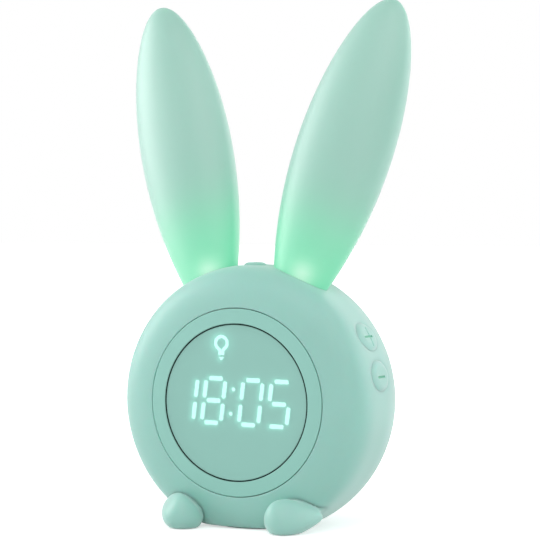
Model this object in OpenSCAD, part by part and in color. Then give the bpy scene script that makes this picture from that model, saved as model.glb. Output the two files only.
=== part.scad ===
// Rabbit night-light alarm clock for a child's bedroom.
// A round body with a flat display face, two lit ears, two feet and five push buttons.
// +Z is up and the face looks along -Y. The origin is on the table, under the body's axis.
// The body is turned about a level axis along Y. A silicone skin covers two hard shells.

/* [Body] */
// Diameter of the round body
body_diameter = 100; // [98:0.5:106]
// Depth by which the round body is cut off at the table
base_sink = 3.4; // [3:0.1:4]
// Gap between the table and the flat underside of the skin
underside_height = 0.6; // [0.5:0.1:1]
// Depth of the body in front of its widest plane
face_depth = 22; // [21.5:0.1:24]
// Depth of the body behind its widest plane
back_depth = 40; // [38:0.5:44]
// How flat the face is: the power of the front curve
face_flatness = 5.2; // [4.8:0.1:6]
// How round the back is: the power of the rear curve
back_flatness = 2.33; // [2.2:0.01:2.6]
// Thickness of the silicone skin
skin_thickness = 2; // [1.6:0.1:2.4]
// Wall of the hard shells
shell_thickness = 2; // [1.6:0.1:2.4]
// Distance from the widest plane back to the joint between the shells
parting_y = 9; // [8.5:0.1:10]

/* [Face] */
// Diameter of the display lens
lens_diameter = 56.8; // [56:0.1:58]
// Thickness of the display lens
lens_thickness = 1.2; // [1:0.1:1.5]
// Width of the dark gasket line round the lens
gasket_width = 0.42; // [0.3:0.02:0.6]
// Outer diameter of the bezel ring
bezel_diameter = 68.6; // [67.5:0.1:70]
// Depth of the lens face behind the front of the body
lens_recess = 0.45; // [0.4:0.05:0.6]
// Depth of the light box behind the lens
mask_depth = 6; // [5:0.1:6.5]

/* [Digits] */
// Clear distance between the ends of the digit row and the rim of the lens
row_margin = 4.7; // [4.6:0.1:5.2]
// Distance between a digit's top and bottom bars
digit_height = 16.3; // [15:0.1:17]
// Width of a lit bar
segment_width = 1.7; // [1.4:0.05:1.9]
// Lean of the digits in degrees
digit_slant = 6; // [0:0.5:8]
// Gap between the digits of a pair
digit_gap = 1.85; // [1.6:0.05:2.2]
// Gap between the two digits at the colon
colon_gap = 5.55; // [5.2:0.05:6]
// Width of the lamp sign
lamp_sign_width = 5.9; // [5:0.1:6.5]

/* [Ears] */
// Length of an ear above the body
ear_length = 106.5; // [95:0.5:115]
// Width of an ear where it meets the body
ear_root_width = 23.3; // [22:0.1:24]
// How strongly an ear widens above its root
ear_swell = 3.26; // [2.8:0.02:3.5]
// How much of that widening is lost towards the tip
ear_taper = 1.4; // [1.2:0.02:1.6]
// Thickness of an ear's blade as a share of its width
ear_slimness = 0.5; // [0.46:0.01:0.56]
// Wall of the hollow ears
ear_wall = 2.3; // [2:0.1:2.6]
// Gap between the two ears at their roots
ear_gap = 14.8; // [14.6:0.1:16.6]
// Sideways lean of an ear in degrees
ear_lean_out = 16.3; // [15:0.1:18]
// Backward lean of an ear in degrees
ear_lean_back = 8.8; // [8:0.1:10]

/* [Feet] */
// Length of a foot
foot_length = 21.6; // [21:0.2:23]
// Width of a foot
foot_width = 12.2; // [12:0.1:13]
// Distance of a foot's middle from the centre line
foot_x = 23.5; // [23:0.1:24.2]
// Distance of a foot's middle in front of the widest plane
foot_y = 21.8; // [21.4:0.1:22.2]
// Turn of the feet in degrees: the blunt ends point inwards
foot_turn = 50; // [44:1:56]

/* [Buttons] */
// Width of a side button along the body's axis
side_button_width = 14.4; // [13.6:0.1:14.8]
// Height of a side button round the body
side_button_height = 11.2; // [10.4:0.1:11.6]
// Angle from the body's top to the upper side button
upper_button_angle = 61; // [60.5:0.1:62]
// Gap between the two side buttons
side_button_gap = 3.9; // [3.8:0.1:4.6]
// Diameter of the top button
top_button_diameter = 8.6; // [8:0.1:8.8]
// Height of the top button above the body
top_button_rise = 0.9; // [0.6:0.05:1.2]
// Travel of each button
button_travel = 0.8; // [0.5:0.05:0.9]

/* [Back] */
// Diameter of the flat rear panel
panel_diameter = 48; // [47:0.5:50]
// Diameter of the speaker
speaker_diameter = 28; // [26:0.5:28.5]
// Diameter of a speaker hole
speaker_hole = 1.8; // [1.2:0.1:2]
// Width of the recess round the charging socket
port_width = 13; // [12:0.1:13.5]
// Height of the recess round the charging socket
port_height = 8; // [7:0.1:8.5]

/* [Hidden] */

// Colours
MINT = [0.62, 0.80, 0.75];
MINT_LIGHT = [0.70, 0.87, 0.81];
MINT_GREY = [0.56, 0.76, 0.71];
EAR_MINT = [0.66, 0.87, 0.79];
SHELL_WHITE = [0.90, 0.93, 0.91];
GLOW = [0.82, 0.98, 0.96];
UNLIT = [0.45, 0.58, 0.55];
BLACK = [0.10, 0.12, 0.12];
BOARD_GREEN = [0.10, 0.40, 0.26];
STEEL = [0.70, 0.71, 0.73];
GOLD = [0.85, 0.70, 0.35];
LEAD_RED = [0.75, 0.15, 0.12];
BATTERY_GREY = [0.68, 0.70, 0.74];

// Clearances
fit = 0.2;            // between the skin and the shells
slip = 0.05;          // between pieces that are pushed together
seat = 0.1;           // between faces that rest on each other
button_gap = 0.3;     // round a moving button
press_clearance = 0.1; // left under a fully pressed stem
screw_clearance = 0.3; // round a screw in a piece that it clamps
far = 200;            // larger than the whole clock

// Screws: radius and height of the head, radius and length of the shaft
SHELL_SCREW = [2.5, 1.8, 1.2, 12];
DISPLAY_SCREW = [2.1, 1.2, 1, 5];
BOARD_SCREW = [2.1, 1.2, 1, 7];
COLLAR_SCREW = [1.9, 1.2, 0.9, 6.5];
FOOT_SCREW = [2.4, 1.4, 1, 8];

// Layers of the body, as insets from its outer surface
body_r = body_diameter / 2;
axis_z = body_r - base_sink;
shell_out = skin_thickness + fit;
shell_in = shell_out + shell_thickness;
body_fn = 120;
profile_steps = 20;

// Planes of the face, as distances along Y
lens_r = lens_diameter / 2;
gasket_in = lens_r + slip;
gasket_out = gasket_in + gasket_width;
gasket_flange = 0.3;
bezel_in = gasket_out + slip;
bezel_out = bezel_diameter / 2;
bezel_gap = 0.25;
edge_break = 0.35;
ledge_in = lens_r - 1.6;
spigot_out = bezel_in + 0.5;
shell_window = spigot_out + fit;
lens_front = -(face_depth - lens_recess);
lens_back = lens_front + lens_thickness;
ledge_front = lens_back + gasket_flange + slip;
bezel_back = front_y(shell_window, shell_out) - seat;
hook_front = front_y(shell_window, shell_in) + fit;
hook_length = 0.7;
hook_reach = 0.9;
hook_sweep = 24;
spigot_end = hook_front + hook_length;
mask_front = lens_back + seat;
mask_back = mask_front + mask_depth;
mask_r = ledge_in - fit;
mask_flange_r = spigot_out - 0.8;
board_thickness = 1.6;
display_board_front = mask_back + seat;
display_board_back = display_board_front + board_thickness;
display_board_r = lens_r + 1;
display_screw_r = lens_r + 5.2;
display_lug_r = 3.2;
display_boss_radius = 2.6;
display_screw_angles = [45, 135, 225, 315];

// Digits, measured on the face from the body's axis
SHOWN_TIME = [1, 8, 0, 5];
LIT_BARS = [
    [1, 1, 1, 1, 1, 1, 0], [0, 1, 1, 0, 0, 0, 0], [1, 1, 0, 1, 1, 0, 1],
    [1, 1, 1, 1, 0, 0, 1], [0, 1, 1, 0, 0, 1, 1], [1, 0, 1, 1, 0, 1, 1],
    [1, 0, 1, 1, 1, 1, 1], [1, 1, 1, 0, 0, 0, 0], [1, 1, 1, 1, 1, 1, 1],
    [1, 1, 1, 1, 0, 1, 1]
];
row_x = -0.95;
row_z = 0.3;
digit_outer = (2 * (lens_r - row_margin) - 2 * digit_gap - colon_gap) / 4;
digit_width = digit_outer - segment_width;
digit_pitch = digit_outer + digit_gap;
colon_pitch = digit_outer + colon_gap;
digit_x = [
    row_x - colon_pitch / 2 - digit_pitch, row_x - colon_pitch / 2,
    row_x + colon_pitch / 2, row_x + colon_pitch / 2 + digit_pitch
];
level_bar = digit_width - segment_width - 0.1;
upright_bar = digit_height / 2 - segment_width;
colon_r = 0.75;
bar_front = 0.05;
bar_depth = 2;
pocket_slack = 0.08;
lamp_sign_place = [-5.35, lens_r - 6.6];
lamp_cap = 1.15;
led_size = [1.6, 0.9, 0.7];

// Ears, measured along each ear's own axis from the surface of the body
ear_spacing = ear_root_width + ear_gap;
ear_root_angle = asin(ear_spacing / 2 / body_r);
ear_setback = 17.2;
ear_y = ear_setback - face_depth;
ear_sides = 28;
ear_steps = 18;
root_thickness_gain = 0.12;
ear_root_depth = 6.5;
ear_tip = 0.985;
cavity_tip = 0.80;
socket_floor = 2.5;
neck_step = 1;
ear_slack = 0.15;
ear_cut_top = 9;
neck = [ear_half_width(-ear_root_depth) - neck_step, ear_half_depth(-ear_root_depth) - neck_step];
ear_bore = [neck[0] - ear_wall, neck[1] - ear_wall];
neck_end = ear_root_depth + seat + socket_floor + seat;
flange_step = 1.8;
flange_thickness = 1.7;
ear_end = neck_end + flange_thickness;
collar_top = ear_end + seat;
collar_thickness = 1.8;
collar_rim = 0.9;
collar_bottom = collar_top + collar_thickness;
tab_y = neck[1] + 5.8;
tab_r = 2.9;
socket_wall = 2.2;
lamp_board_thickness = 1.1;
lamp_board_rim = 2.3;
lamp_board_top = collar_bottom + slip;
lamp_led = [2.8, 2.8, 1.3];
lamp_led_inset = 1.85;
lamp_led_x = ear_bore[0] - lamp_led[0] / 2 - lamp_led_inset;

// Feet
foot_taper = 0.45;
foot_sag = 0.35;
foot_lean = 0.15;
foot_half_height = 6.5;
foot_middle = 5.9;
foot_sides = 32;
foot_steps = 18;
foot_gap = 0.1;
peg_r = 2.8;
peg_x = foot_x - 1.5;
peg_y = foot_y - 4.8;
peg_radius = front_radius(peg_y, 0);
peg_z = axis_z - sqrt(pow(peg_radius, 2) - pow(peg_x, 2));
peg_slope = pow(peg_radius / body_r, face_flatness - 1) / body_r / peg_radius;
peg_inwards = [
    peg_slope * peg_x, pow(peg_y / face_depth, face_flatness - 1) / face_depth, peg_slope * (axis_z - peg_z)
];
peg_turn = atan2(peg_inwards[0], peg_inwards[1]);
peg_tilt = atan2(norm([peg_inwards[0], peg_inwards[1]]), peg_inwards[2]);
peg_root = 1.5;
peg_end = shell_out + 0.7;
peg_boss_r = 3.6;
peg_boss_end = shell_in + 1.4;

// Joint between the shells
lip_length = 2.5;
lip_thickness = 1.7;

// Buttons and their switches, measured outwards from the body's axis
side_button_rise = 0.4;
button_flange_step = 1;
side_button_y = parting_y - lip_length - button_gap - button_flange_step - side_button_width / 2;
side_flange_step = 0.7;
button_flange_depth = 1.1;
flange_surface = shell_in + button_gap;
cap_bottom = body_r - flange_surface - button_flange_depth - 0.5;
stem_r = 1.5;
switch_y = ear_y;
switch_size = [6, 6, 3.6];
switch_base = body_r - 15.4;
actuator_r = 1.7;
actuator_length = 1.4;
stem_end = switch_base + switch_size[2] + actuator_length + button_travel + press_clearance;
lower_button_angle = upper_button_angle + 2 * asin((side_button_height + side_button_gap) / 2 / body_r);
BUTTON_ANGLES = [
    upper_button_angle, lower_button_angle, 0, -upper_button_angle, -lower_button_angle
];

// Main board
main_board_front = switch_y + switch_size[1] / 2;
main_board_back = main_board_front + board_thickness;
main_board_r = body_r - 17;
switch_tab = [8, switch_base + 2.4];
board_boss_r = body_r - 10;
board_boss_radius = 3.2;
board_boss_angles = [112, 162, 198, 248];
connector_size = [6, 4.5, 3];
connector_back = main_board_back + connector_size[2];
CHIPS = [[-5, -4, 10, 10], [14, -4, 5, 4], [-20, 10, 6, 5]];
chip_height = 1.4;
header_size = [20, 5];
header_drop = lens_r - 8.4;

// Bosses for the screws between the shells
shell_boss_radius = 4;
shell_boss_angles = [45, 135, 225, 315];
shell_screw_seat = parting_y + 5;
shell_boss_front = shell_screw_seat - SHELL_SCREW[3] - 2;
shell_screw_wall = 0.4;
shell_screw_reach = back_radius(shell_screw_seat + SHELL_SCREW[1], skin_thickness);
shell_boss_r = shell_screw_reach - SHELL_SCREW[0] - screw_clearance - shell_screw_wall;

// Rear panel and what it carries
panel_r = panel_diameter / 2;
panel_y = back_y(panel_r, 0);
panel_thickness = 2;
panel_inside = panel_y - panel_thickness;
port_drop = 15;
port_z = axis_z - port_drop;
port_depth = 5;
port_wall = 1.2;
port_back = panel_y - port_depth - port_wall;
speaker_r = speaker_diameter / 2;
speaker_height = 5.8;
speaker_gasket_thickness = 0.6;
speaker_rim = 1.5;
speaker_wall = 1.6;
speaker_ring_depth = 5.2;
speaker_ring_gap = 0.15;
speaker_ring_r = speaker_r + slip + speaker_wall;
speaker_z = port_z + port_height / 2 + port_wall + speaker_ring_gap + speaker_ring_r;
speaker_front = panel_inside - speaker_gasket_thickness - 2 * slip;
speaker_back = speaker_front - speaker_height;
socket_size = [9, 7.2, 3.2];
usb_board_size = [18, 10.2, 1.6];
usb_z = port_z - socket_size[2] / 2 - usb_board_size[2];
usb_board_front = port_back - seat - usb_board_size[1];
usb_shelf = [usb_board_size[0], 6, 1.6];
reset_r = 0.8;
reset_place = [-13, -13];

// Battery and its cradle
battery_size = [36, 8, 26];
battery_rise = 30.4;
cradle_wall = 1.3;
cradle_gap = 0.8;
cradle_setback = 2;
battery_y = usb_board_front - cradle_gap - cradle_wall - seat - battery_size[1];
battery_z = axis_z - body_r + battery_rise;
battery_top = battery_z + battery_size[2] / 2;
cradle_back = battery_y + battery_size[1] + seat + cradle_wall;
cradle_post_x = 13;
cradle_post_r = 2.6;
stake_r = 1.2;
post_end = back_y(norm([cradle_post_x, axis_z - battery_z]), shell_in) + shell_thickness * 0.45;

// Base pad
pad_r = 16;
pad_y = 1;
pad_pocket = 1;

// Lead routes, each chosen by hand from the two pieces that it joins
lead_r = 1;
lead_sides = 8;
lead_gap = 0.2;
CONNECTORS = [
    [-12, battery_top - axis_z + 4], [12, 9.4], [10, battery_top - axis_z - 2], [-10, 21.4], [10, 21.4]
];
battery_tab = [-6, battery_y + battery_size[1] / 2, battery_top + lead_gap];
speaker_tab = [5, speaker_back - lead_gap, speaker_z + 3.4];
usb_tab = [7, usb_board_front + 1.8, usb_z + usb_board_size[2] + lead_gap];
ear_tab = ear_point([1.5, 0, -lamp_board_top - lamp_board_thickness - slip]);
BATTERY_ROUTE = concat(
    moved([[0, 0, 0], [0, 0, 2.3]], battery_tab),
    moved([[4, 9, 0], [1, 6, 0], [0, 3, 0], [0, 0, 0]], plug(0))
);
SPEAKER_ROUTE = concat(
    moved([[0, 0, 0], [0, -2, 0], [2, -6, 1]], speaker_tab),
    moved([[-2, 12, 2], [0, 6, 1], [0, 2.5, 0], [0, 0, 0]], plug(1))
);
USB_ROUTE = concat(
    moved([[0, 0, 0], [0, 0, 2.8]], usb_tab),
    moved([[9, 11.5, 1], [10, 8, 4.5], [10, 2, 4.5]], [0, battery_y, battery_top]),
    moved([[0, 4.5, 3.5], [0, 2, 0], [0, 0, 0]], plug(2))
);
EAR_ROUTE = concat(
    moved([[0, 0, 0], [-0.6, -0.3, -2.1], [0.9, 0.9, -3.7], [4.4, 5.9, -3.6]], ear_tab),
    moved([[11, 0.5, 6], [6, 4, 3], [1, 3.5, 0.5], [0, 2, 0], [0, 0, 0]], plug(4))
);
function moved(points, by) = [for (p = points) p + by];
function plug(i) = [CONNECTORS[i][0], connector_back + lead_gap, axis_z + CONNECTORS[i][1]];

// A point in the right ear's own frame, as a point of the clock
function ear_point(p) =
    let (
        y = p[1] * cos(ear_lean_back) + p[2] * sin(ear_lean_back),
        h = p[2] * cos(ear_lean_back) - p[1] * sin(ear_lean_back)
    )
    [
        ear_spacing / 2 + p[0] * cos(ear_lean_out) + h * sin(ear_lean_out),
        ear_y + y,
        axis_z + body_r * cos(ear_root_angle) + h * cos(ear_lean_out) - p[0] * sin(ear_lean_out)
    ];

// Front surface of a layer of the body at a distance r from its axis
function front_y(r, inset) =
    -(face_depth - inset) * pow(1 - pow(r / (body_r - inset), face_flatness), 1 / face_flatness);

// Rear surface of a layer of the body at a distance r from its axis
function back_y(r, inset) =
    (back_depth - inset) * pow(1 - pow(r / (body_r - inset), back_flatness), 1 / back_flatness);

// Distance from the axis to a layer of the body at a plane in front of its widest one
function front_radius(y, inset) =
    (body_r - inset) * pow(1 - pow(y / (face_depth - inset), face_flatness), 1 / face_flatness);

// Distance from the axis to a layer of the body at a plane behind its widest one
function back_radius(y, inset) =
    (body_r - inset) * pow(1 - pow(y / (back_depth - inset), back_flatness), 1 / back_flatness);

// One quarter of a superellipse, from the axis to the rim
function quarter(radius, depth, power) = [
    for (i = [0:profile_steps])
        let (a = 90 * i / profile_steps)
        [radius * pow(sin(a), 2 / power), depth * pow(cos(a), 2 / power)]
];

// Half section of the body, from the middle of the face round to the middle of the back
function body_profile(inset) =
    let (
        front = quarter(body_r - inset, face_depth - inset, face_flatness),
        back = quarter(body_r - inset, back_depth - inset, back_flatness)
    )
    concat(
        [for (p = front) [p[0], -p[1]]],
        [for (i = [profile_steps - 1:-1:0]) back[i]]
    );

// Half width and half thickness of an ear at a height above the body's surface
function ear_half_width(h) =
    let (t = h / ear_length)
    ear_root_width / 2 * (1 + ear_swell * t - ear_taper * t * t) * sqrt(1 - t);
function ear_half_depth(h) =
    ear_half_width(h) * (ear_slimness + root_thickness_gain * pow(1 - h / ear_length, 2));

// Heights along an ear, closer together towards the tip
function ear_height(u) = -ear_root_depth + (ear_length + ear_root_depth) * (1 - pow(1 - u, 2));

// One oval ring of an ear, and a stack of such rings as one closed solid
function oval_ring(a, b, h) = [
    for (i = [0:ear_sides - 1]) let (t = 360 * i / ear_sides) [a * cos(t), b * sin(t), h]
];
module ring_stack(rings) {
    sides = len(rings[0]);
    count = len(rings);
    walls = [
        for (j = [0:count - 2], i = [0:sides - 1])
            let (n = (i + 1) % sides, a = j * sides, b = (j + 1) * sides)
            each [[a + i, b + i, b + n], [a + i, b + n, a + n]]
    ];
    first = [for (i = [0:sides - 1]) i];
    last = [for (i = [sides - 1:-1:0]) (count - 1) * sides + i];
    polyhedron(points = [for (r = rings) each r], faces = concat([first], walls, [last]));
}

// A round lead swept along a route
function unit(v) = v / norm(v);
function route_direction(route, i) =
    unit(route[min(i + 1, len(route) - 1)] - route[max(i - 1, 0)]);
module lead(route) {
    rings = [
        for (i = [0:len(route) - 1])
            let (
                d = route_direction(route, i),
                side = unit(cross(d, [0.3, 0.2, 0.93])),
                up = cross(d, side)
            )
            [for (k = [0:lead_sides - 1])
                let (t = 360 * k / lead_sides)
                route[i] + lead_r * (cos(t) * side + sin(t) * up)]
    ];
    ring_stack(rings);
}
function mirrored(route) = [for (p = route) [-p[0], p[1], p[2]]];

// Local Z runs back along the body's axis
module along_axis() {
    translate([0, 0, axis_z]) rotate([-90, 0, 0]) children();
}

// Local XY lies on the face with +Y up, and local Z comes out of the face
module on_face() {
    translate([0, 0, axis_z]) rotate([90, 0, 0]) children();
}

// Extrudes a shape drawn on the face between two distances along Y
module face_slab(y_front, y_back) {
    on_face() translate([0, 0, -y_back]) linear_extrude(y_back - y_front) children();
}

// A position on the face at an angle from the top
module at_angle(angle, radius) {
    rotate(-angle) translate([0, radius]) children();
}

// Local Z points outwards at an angle from the body's top
module at_button(angle, y) {
    translate([0, y, axis_z]) rotate([0, angle, 0]) children();
}

// Local Z runs up an ear's axis from the surface of the body; side is 1 right, -1 left
module at_ear(side) {
    mirror([side < 0 ? 1 : 0, 0, 0])
        translate([ear_spacing / 2, ear_y, axis_z + body_r * cos(ear_root_angle)])
        rotate([-ear_lean_back, ear_lean_out, 0])
        children();
}

// Everything between two planes across the body's axis
module between(y_front, y_back) {
    translate([-far / 2, y_front, -far / 2]) cube([far, y_back - y_front, 2 * far]);
}

module oval(a, b) {
    polygon([for (i = [0:47]) let (t = 360 * i / 48) [a * cos(t), b * sin(t)]]);
}

// The body shrunk by an inset, cut flat at the bottom
module body_solid(inset) {
    difference() {
        along_axis() rotate_extrude($fn = body_fn) polygon(body_profile(inset));
        translate([-far / 2, -far / 2, -far]) cube([far, far, far + underside_height + inset]);
    }
}

// The outside of an ear between two heights, grown by a clearance
module ear_cutter(low, high, slack) {
    steps = 4;
    ring_stack([
        for (i = [0:steps])
            let (h = low + (high - low) * i / steps)
            oval_ring(ear_half_width(h) + slack, ear_half_depth(h) + slack, h)
    ]);
}

module screw(size) {
    head_r = size[0];
    head_h = size[1];
    translate([0, 0, -size[3]]) cylinder(r = size[2], h = size[3], $fn = 24);
    difference() {
        cylinder(r = head_r, h = head_h, $fn = 32);
        translate([0, 0, head_h / 2]) {
            translate([-head_r * 0.6, -0.3, 0]) cube([head_r * 1.2, 0.6, head_h]);
            translate([-0.3, -head_r * 0.6, 0]) cube([0.6, head_r * 1.2, head_h]);
        }
    }
}

// The opening of a side button through the skin and the shell
module side_button_shape(grow_round, grow_along) {
    oval(side_button_height / 2 + grow_round, side_button_width / 2 + grow_along);
}
module button_openings() {
    for (angle = BUTTON_ANGLES)
        if (angle == 0)
            at_button(0, ear_y) cylinder(r = top_button_diameter / 2 + button_gap, h = far, $fn = 48);
        else
            at_button(angle, side_button_y)
                linear_extrude(far) side_button_shape(button_gap, button_gap);
}

// Local Z runs from the skin's surface inwards, along a foot's peg
module at_peg(side) {
    translate([side * peg_x, -peg_y, peg_z]) rotate([-peg_tilt, 0, side * peg_turn]) children();
}
module peg_hole(radius, depth) {
    for (side = [-1, 1])
        at_peg(side) translate([0, 0, -peg_r]) cylinder(r = radius, h = depth + peg_r, $fn = 32);
}

// Silicone skin over both shells, open at the face, the back, the ears and the buttons
module silicone_skin() {
    color(MINT) difference() {
        body_solid(0);
        body_solid(skin_thickness);
        along_axis() translate([0, 0, -far]) cylinder(r = bezel_out + bezel_gap, h = far, $fn = 96);
        along_axis() cylinder(r = panel_r + bezel_gap, h = far, $fn = 96);
        for (side = [-1, 1])
            at_ear(side) ear_cutter(-ear_root_depth - 4, ear_cut_top, ear_slack);
        button_openings();
        translate([0, pad_y, 0])
            cylinder(r = pad_r + slip, h = underside_height + pad_pocket + slip, $fn = 64);
        peg_hole(peg_r + slip, shell_out + skin_thickness);
    }
}

// Inside features of the front shell
module ear_socket_boss() {
    translate([0, 0, -neck_end + seat]) linear_extrude(neck_end + 6)
        oval(ear_half_width(0) + socket_wall, ear_half_depth(0) + socket_wall);
    ear_screw_tab(0);
}
module ear_screw_tab(grow) {
    start = neck[1] + flange_step + 0.6;
    translate([0, 0, -collar_top + slip - grow]) {
        translate([0, tab_y, 0]) cylinder(r = tab_r + grow, h = collar_top + grow, $fn = 32);
        translate([-tab_r - grow, start, 0])
            cube([2 * (tab_r + grow), tab_y - start, collar_top + grow]);
    }
}

// Screw bosses that join the shells, each with a web out to the wall
module shell_bosses(grow) {
    for (angle = shell_boss_angles) at_angle(angle, shell_boss_r) {
        circle(r = shell_boss_radius + grow, $fn = 32);
        translate([-shell_boss_radius - grow, 0])
            square([2 * (shell_boss_radius + grow), body_r - shell_boss_r]);
    }
}

module front_shell() {
    color(SHELL_WHITE) difference() {
        intersection() {
            body_solid(shell_out);
            between(-far / 4, parting_y);
            union() {
                difference() {
                    body_solid(shell_out - 1);
                    body_solid(shell_in);
                }
                for (side = [-1, 1]) {
                    at_ear(side) ear_socket_boss();
                    at_peg(side) cylinder(r = peg_boss_r, h = peg_boss_end, $fn = 32);
                }
                face_slab(front_y(0, shell_out), display_board_front - slip)
                    for (angle = display_screw_angles)
                        at_angle(angle, display_screw_r) circle(r = display_boss_radius, $fn = 32);
                face_slab(front_y(0, shell_out), main_board_front - slip)
                    for (angle = board_boss_angles)
                        at_angle(angle, board_boss_r) circle(r = board_boss_radius, $fn = 32);
                face_slab(shell_boss_front, parting_y) shell_bosses(0);
            }
        }
        along_axis() translate([0, 0, -far]) cylinder(r = shell_window, h = far, $fn = 96);
        for (side = [-1, 1]) at_ear(side) {
            ear_cutter(-ear_root_depth - seat, ear_cut_top, 2 * ear_slack);
            translate([0, 0, -far / 2]) linear_extrude(far / 2) oval(neck[0] + fit, neck[1] + fit);
            translate([0, tab_y, COLLAR_SCREW[3] + 1 - collar_bottom - far])
                cylinder(r = COLLAR_SCREW[2] + slip, h = far, $fn = 24);
        }
        button_openings();
        at_button(0, ear_y) translate([0, 0, stem_end - 6])
            cylinder(r = top_button_diameter / 2 + button_flange_step + button_gap,
                h = body_r - flange_surface - stem_end + 6, $fn = 48);
        face_slab(front_y(0, shell_out) + 1.2, 0) for (angle = display_screw_angles)
            at_angle(angle, display_screw_r) circle(r = DISPLAY_SCREW[2] + slip, $fn = 24);
        face_slab(main_board_back - BOARD_SCREW[3] - 1, main_board_back) for (angle = board_boss_angles)
            at_angle(angle, board_boss_r) circle(r = BOARD_SCREW[2] + slip, $fn = 24);
        face_slab(shell_boss_front + 1, far / 2) for (angle = shell_boss_angles)
            at_angle(angle, shell_boss_r) circle(r = SHELL_SCREW[2] + slip, $fn = 24);
        peg_hole(peg_r + fit, peg_end + seat);
        peg_hole(FOOT_SCREW[2] + screw_clearance, peg_boss_end + 1);
        for (side = [-1, 1]) at_peg(side) translate([0, 0, peg_boss_end])
            cylinder(r = FOOT_SCREW[0] + screw_clearance, h = 4, $fn = 32);
    }
}

// Rear shell with its lip, screw tubes, flat panel, speaker ring, port pocket and cradle posts
module speaker_holes() {
    pitch = speaker_hole * 1.9;
    for (row = [-2:2], column = [-2:2])
        if (abs(row + column) <= 2)
            translate([(column + row / 2) * pitch, row * pitch * sqrt(3) / 2])
                circle(d = speaker_hole, $fn = 24);
}
module port_box(grow, depth) {
    translate([-port_width / 2 - grow, panel_y - depth, port_z - port_height / 2 - grow])
        cube([port_width + 2 * grow, depth, port_height + 2 * grow]);
}
module rear_shell() {
    color(SHELL_WHITE) difference() {
        union() {
            intersection() {
                body_solid(shell_out);
                between(parting_y, panel_y);
                union() {
                    difference() {
                        body_solid(shell_out - 1);
                        intersection() {
                            body_solid(shell_in);
                            between(-far / 4, panel_inside);
                        }
                    }
                    difference() {
                        between(parting_y, parting_y + lip_length);
                        body_solid(shell_in + lip_thickness);
                    }
                    face_slab(parting_y, far / 2) shell_bosses(0);
                    translate([0, panel_inside - speaker_ring_depth, speaker_z]) rotate([-90, 0, 0])
                        cylinder(r = speaker_ring_r, h = speaker_ring_depth + seat, $fn = 64);
                    port_box(port_wall, port_depth + port_wall);
                }
            }
            difference() {
                intersection() {
                    body_solid(shell_in + fit);
                    between(parting_y - lip_length, parting_y + 1);
                }
                body_solid(shell_in + lip_thickness);
                face_slab(0, parting_y) shell_bosses(fit);
                for (side = [-1, 1]) at_ear(side) ear_screw_tab(fit);
            }
            along_axis() translate([0, 0, panel_inside])
                cylinder(r = panel_r, h = panel_thickness, $fn = 96);
            translate([-usb_shelf[0] / 2, port_back - usb_shelf[1], usb_z - usb_shelf[2] - slip])
                cube(usb_shelf + [0, seat, 0]);
            for (side = [-1, 1])
                translate([side * cradle_post_x, 0, battery_z]) rotate([-90, 0, 0]) {
                    translate([0, 0, cradle_back + seat])
                        cylinder(r = cradle_post_r, h = post_end - cradle_back - seat, $fn = 32);
                    translate([0, 0, cradle_back - cradle_wall])
                        cylinder(r = stake_r, h = cradle_wall + 1, $fn = 24);
                }
        }
        translate([0, panel_inside - speaker_height, speaker_z]) rotate([-90, 0, 0])
            cylinder(r = speaker_r + slip, h = speaker_height, $fn = 64);
        translate([0, 0, speaker_z - axis_z]) face_slab(panel_inside - 1, panel_y + 1) speaker_holes();
        translate([-port_width / 2, panel_y - port_depth, port_z - port_height / 2])
            cube([port_width, port_depth + 1, port_height]);
        translate([0, panel_y - port_depth, port_z])
            cube([socket_size[0] + 2 * slip, 2 * port_wall + 2, socket_size[2] + 2 * slip], center = true);
        face_slab(panel_inside - 1, panel_y + 1) translate(reset_place) circle(r = reset_r, $fn = 24);
        face_slab(parting_y - 1, far / 2) for (angle = shell_boss_angles)
            at_angle(angle, shell_boss_r) circle(r = SHELL_SCREW[2] + screw_clearance, $fn = 24);
        face_slab(shell_screw_seat, far / 2) for (angle = shell_boss_angles)
            at_angle(angle, shell_boss_r) circle(r = SHELL_SCREW[0] + screw_clearance, $fn = 32);
    }
}

module shell_screws() {
    color(STEEL) for (angle = shell_boss_angles)
        at_button(angle, 0) translate([0, shell_screw_seat + slip, shell_boss_r])
            rotate([-90, 0, 0]) screw(SHELL_SCREW);
}

// Base pad let into the flat underside of the skin
module base_pad() {
    color(MINT_GREY) translate([0, pad_y, 0])
        cylinder(r = pad_r, h = underside_height + pad_pocket, $fn = 64);
}

// Flat ring round the display, with a spigot and three hooks through the front shell
module face_bezel() {
    face = [
        for (i = [0:6])
            let (r = bezel_in + edge_break + (bezel_out - bezel_in - 2 * edge_break) * i / 6)
            [r, front_y(r, 0)]
    ];
    color(MINT_LIGHT) along_axis() {
        rotate_extrude($fn = 96) polygon(concat(
            [[ledge_in, ledge_front], [bezel_in, ledge_front],
                [bezel_in, front_y(bezel_in, 0) + edge_break]],
            face,
            [[bezel_out, front_y(bezel_out, 0) + edge_break], [bezel_out, bezel_back],
                [spigot_out, bezel_back], [spigot_out, spigot_end], [ledge_in, spigot_end]]
        ));
        for (angle = [30, 150, 270]) rotate(angle - hook_sweep / 2)
            rotate_extrude(angle = hook_sweep, $fn = 96) polygon([
                [spigot_out - 0.5, hook_front], [spigot_out + hook_reach, hook_front],
                [spigot_out + hook_reach / 3, spigot_end], [spigot_out - 0.5, spigot_end]
            ]);
    }
}

module lens_gasket() {
    color(BLACK) along_axis() rotate_extrude($fn = 96) polygon([
        [ledge_in + slip, lens_back + slip], [gasket_in, lens_back + slip], [gasket_in, lens_front],
        [gasket_out, lens_front], [gasket_out, ledge_front - slip], [ledge_in + slip, ledge_front - slip]
    ]);
}

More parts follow.
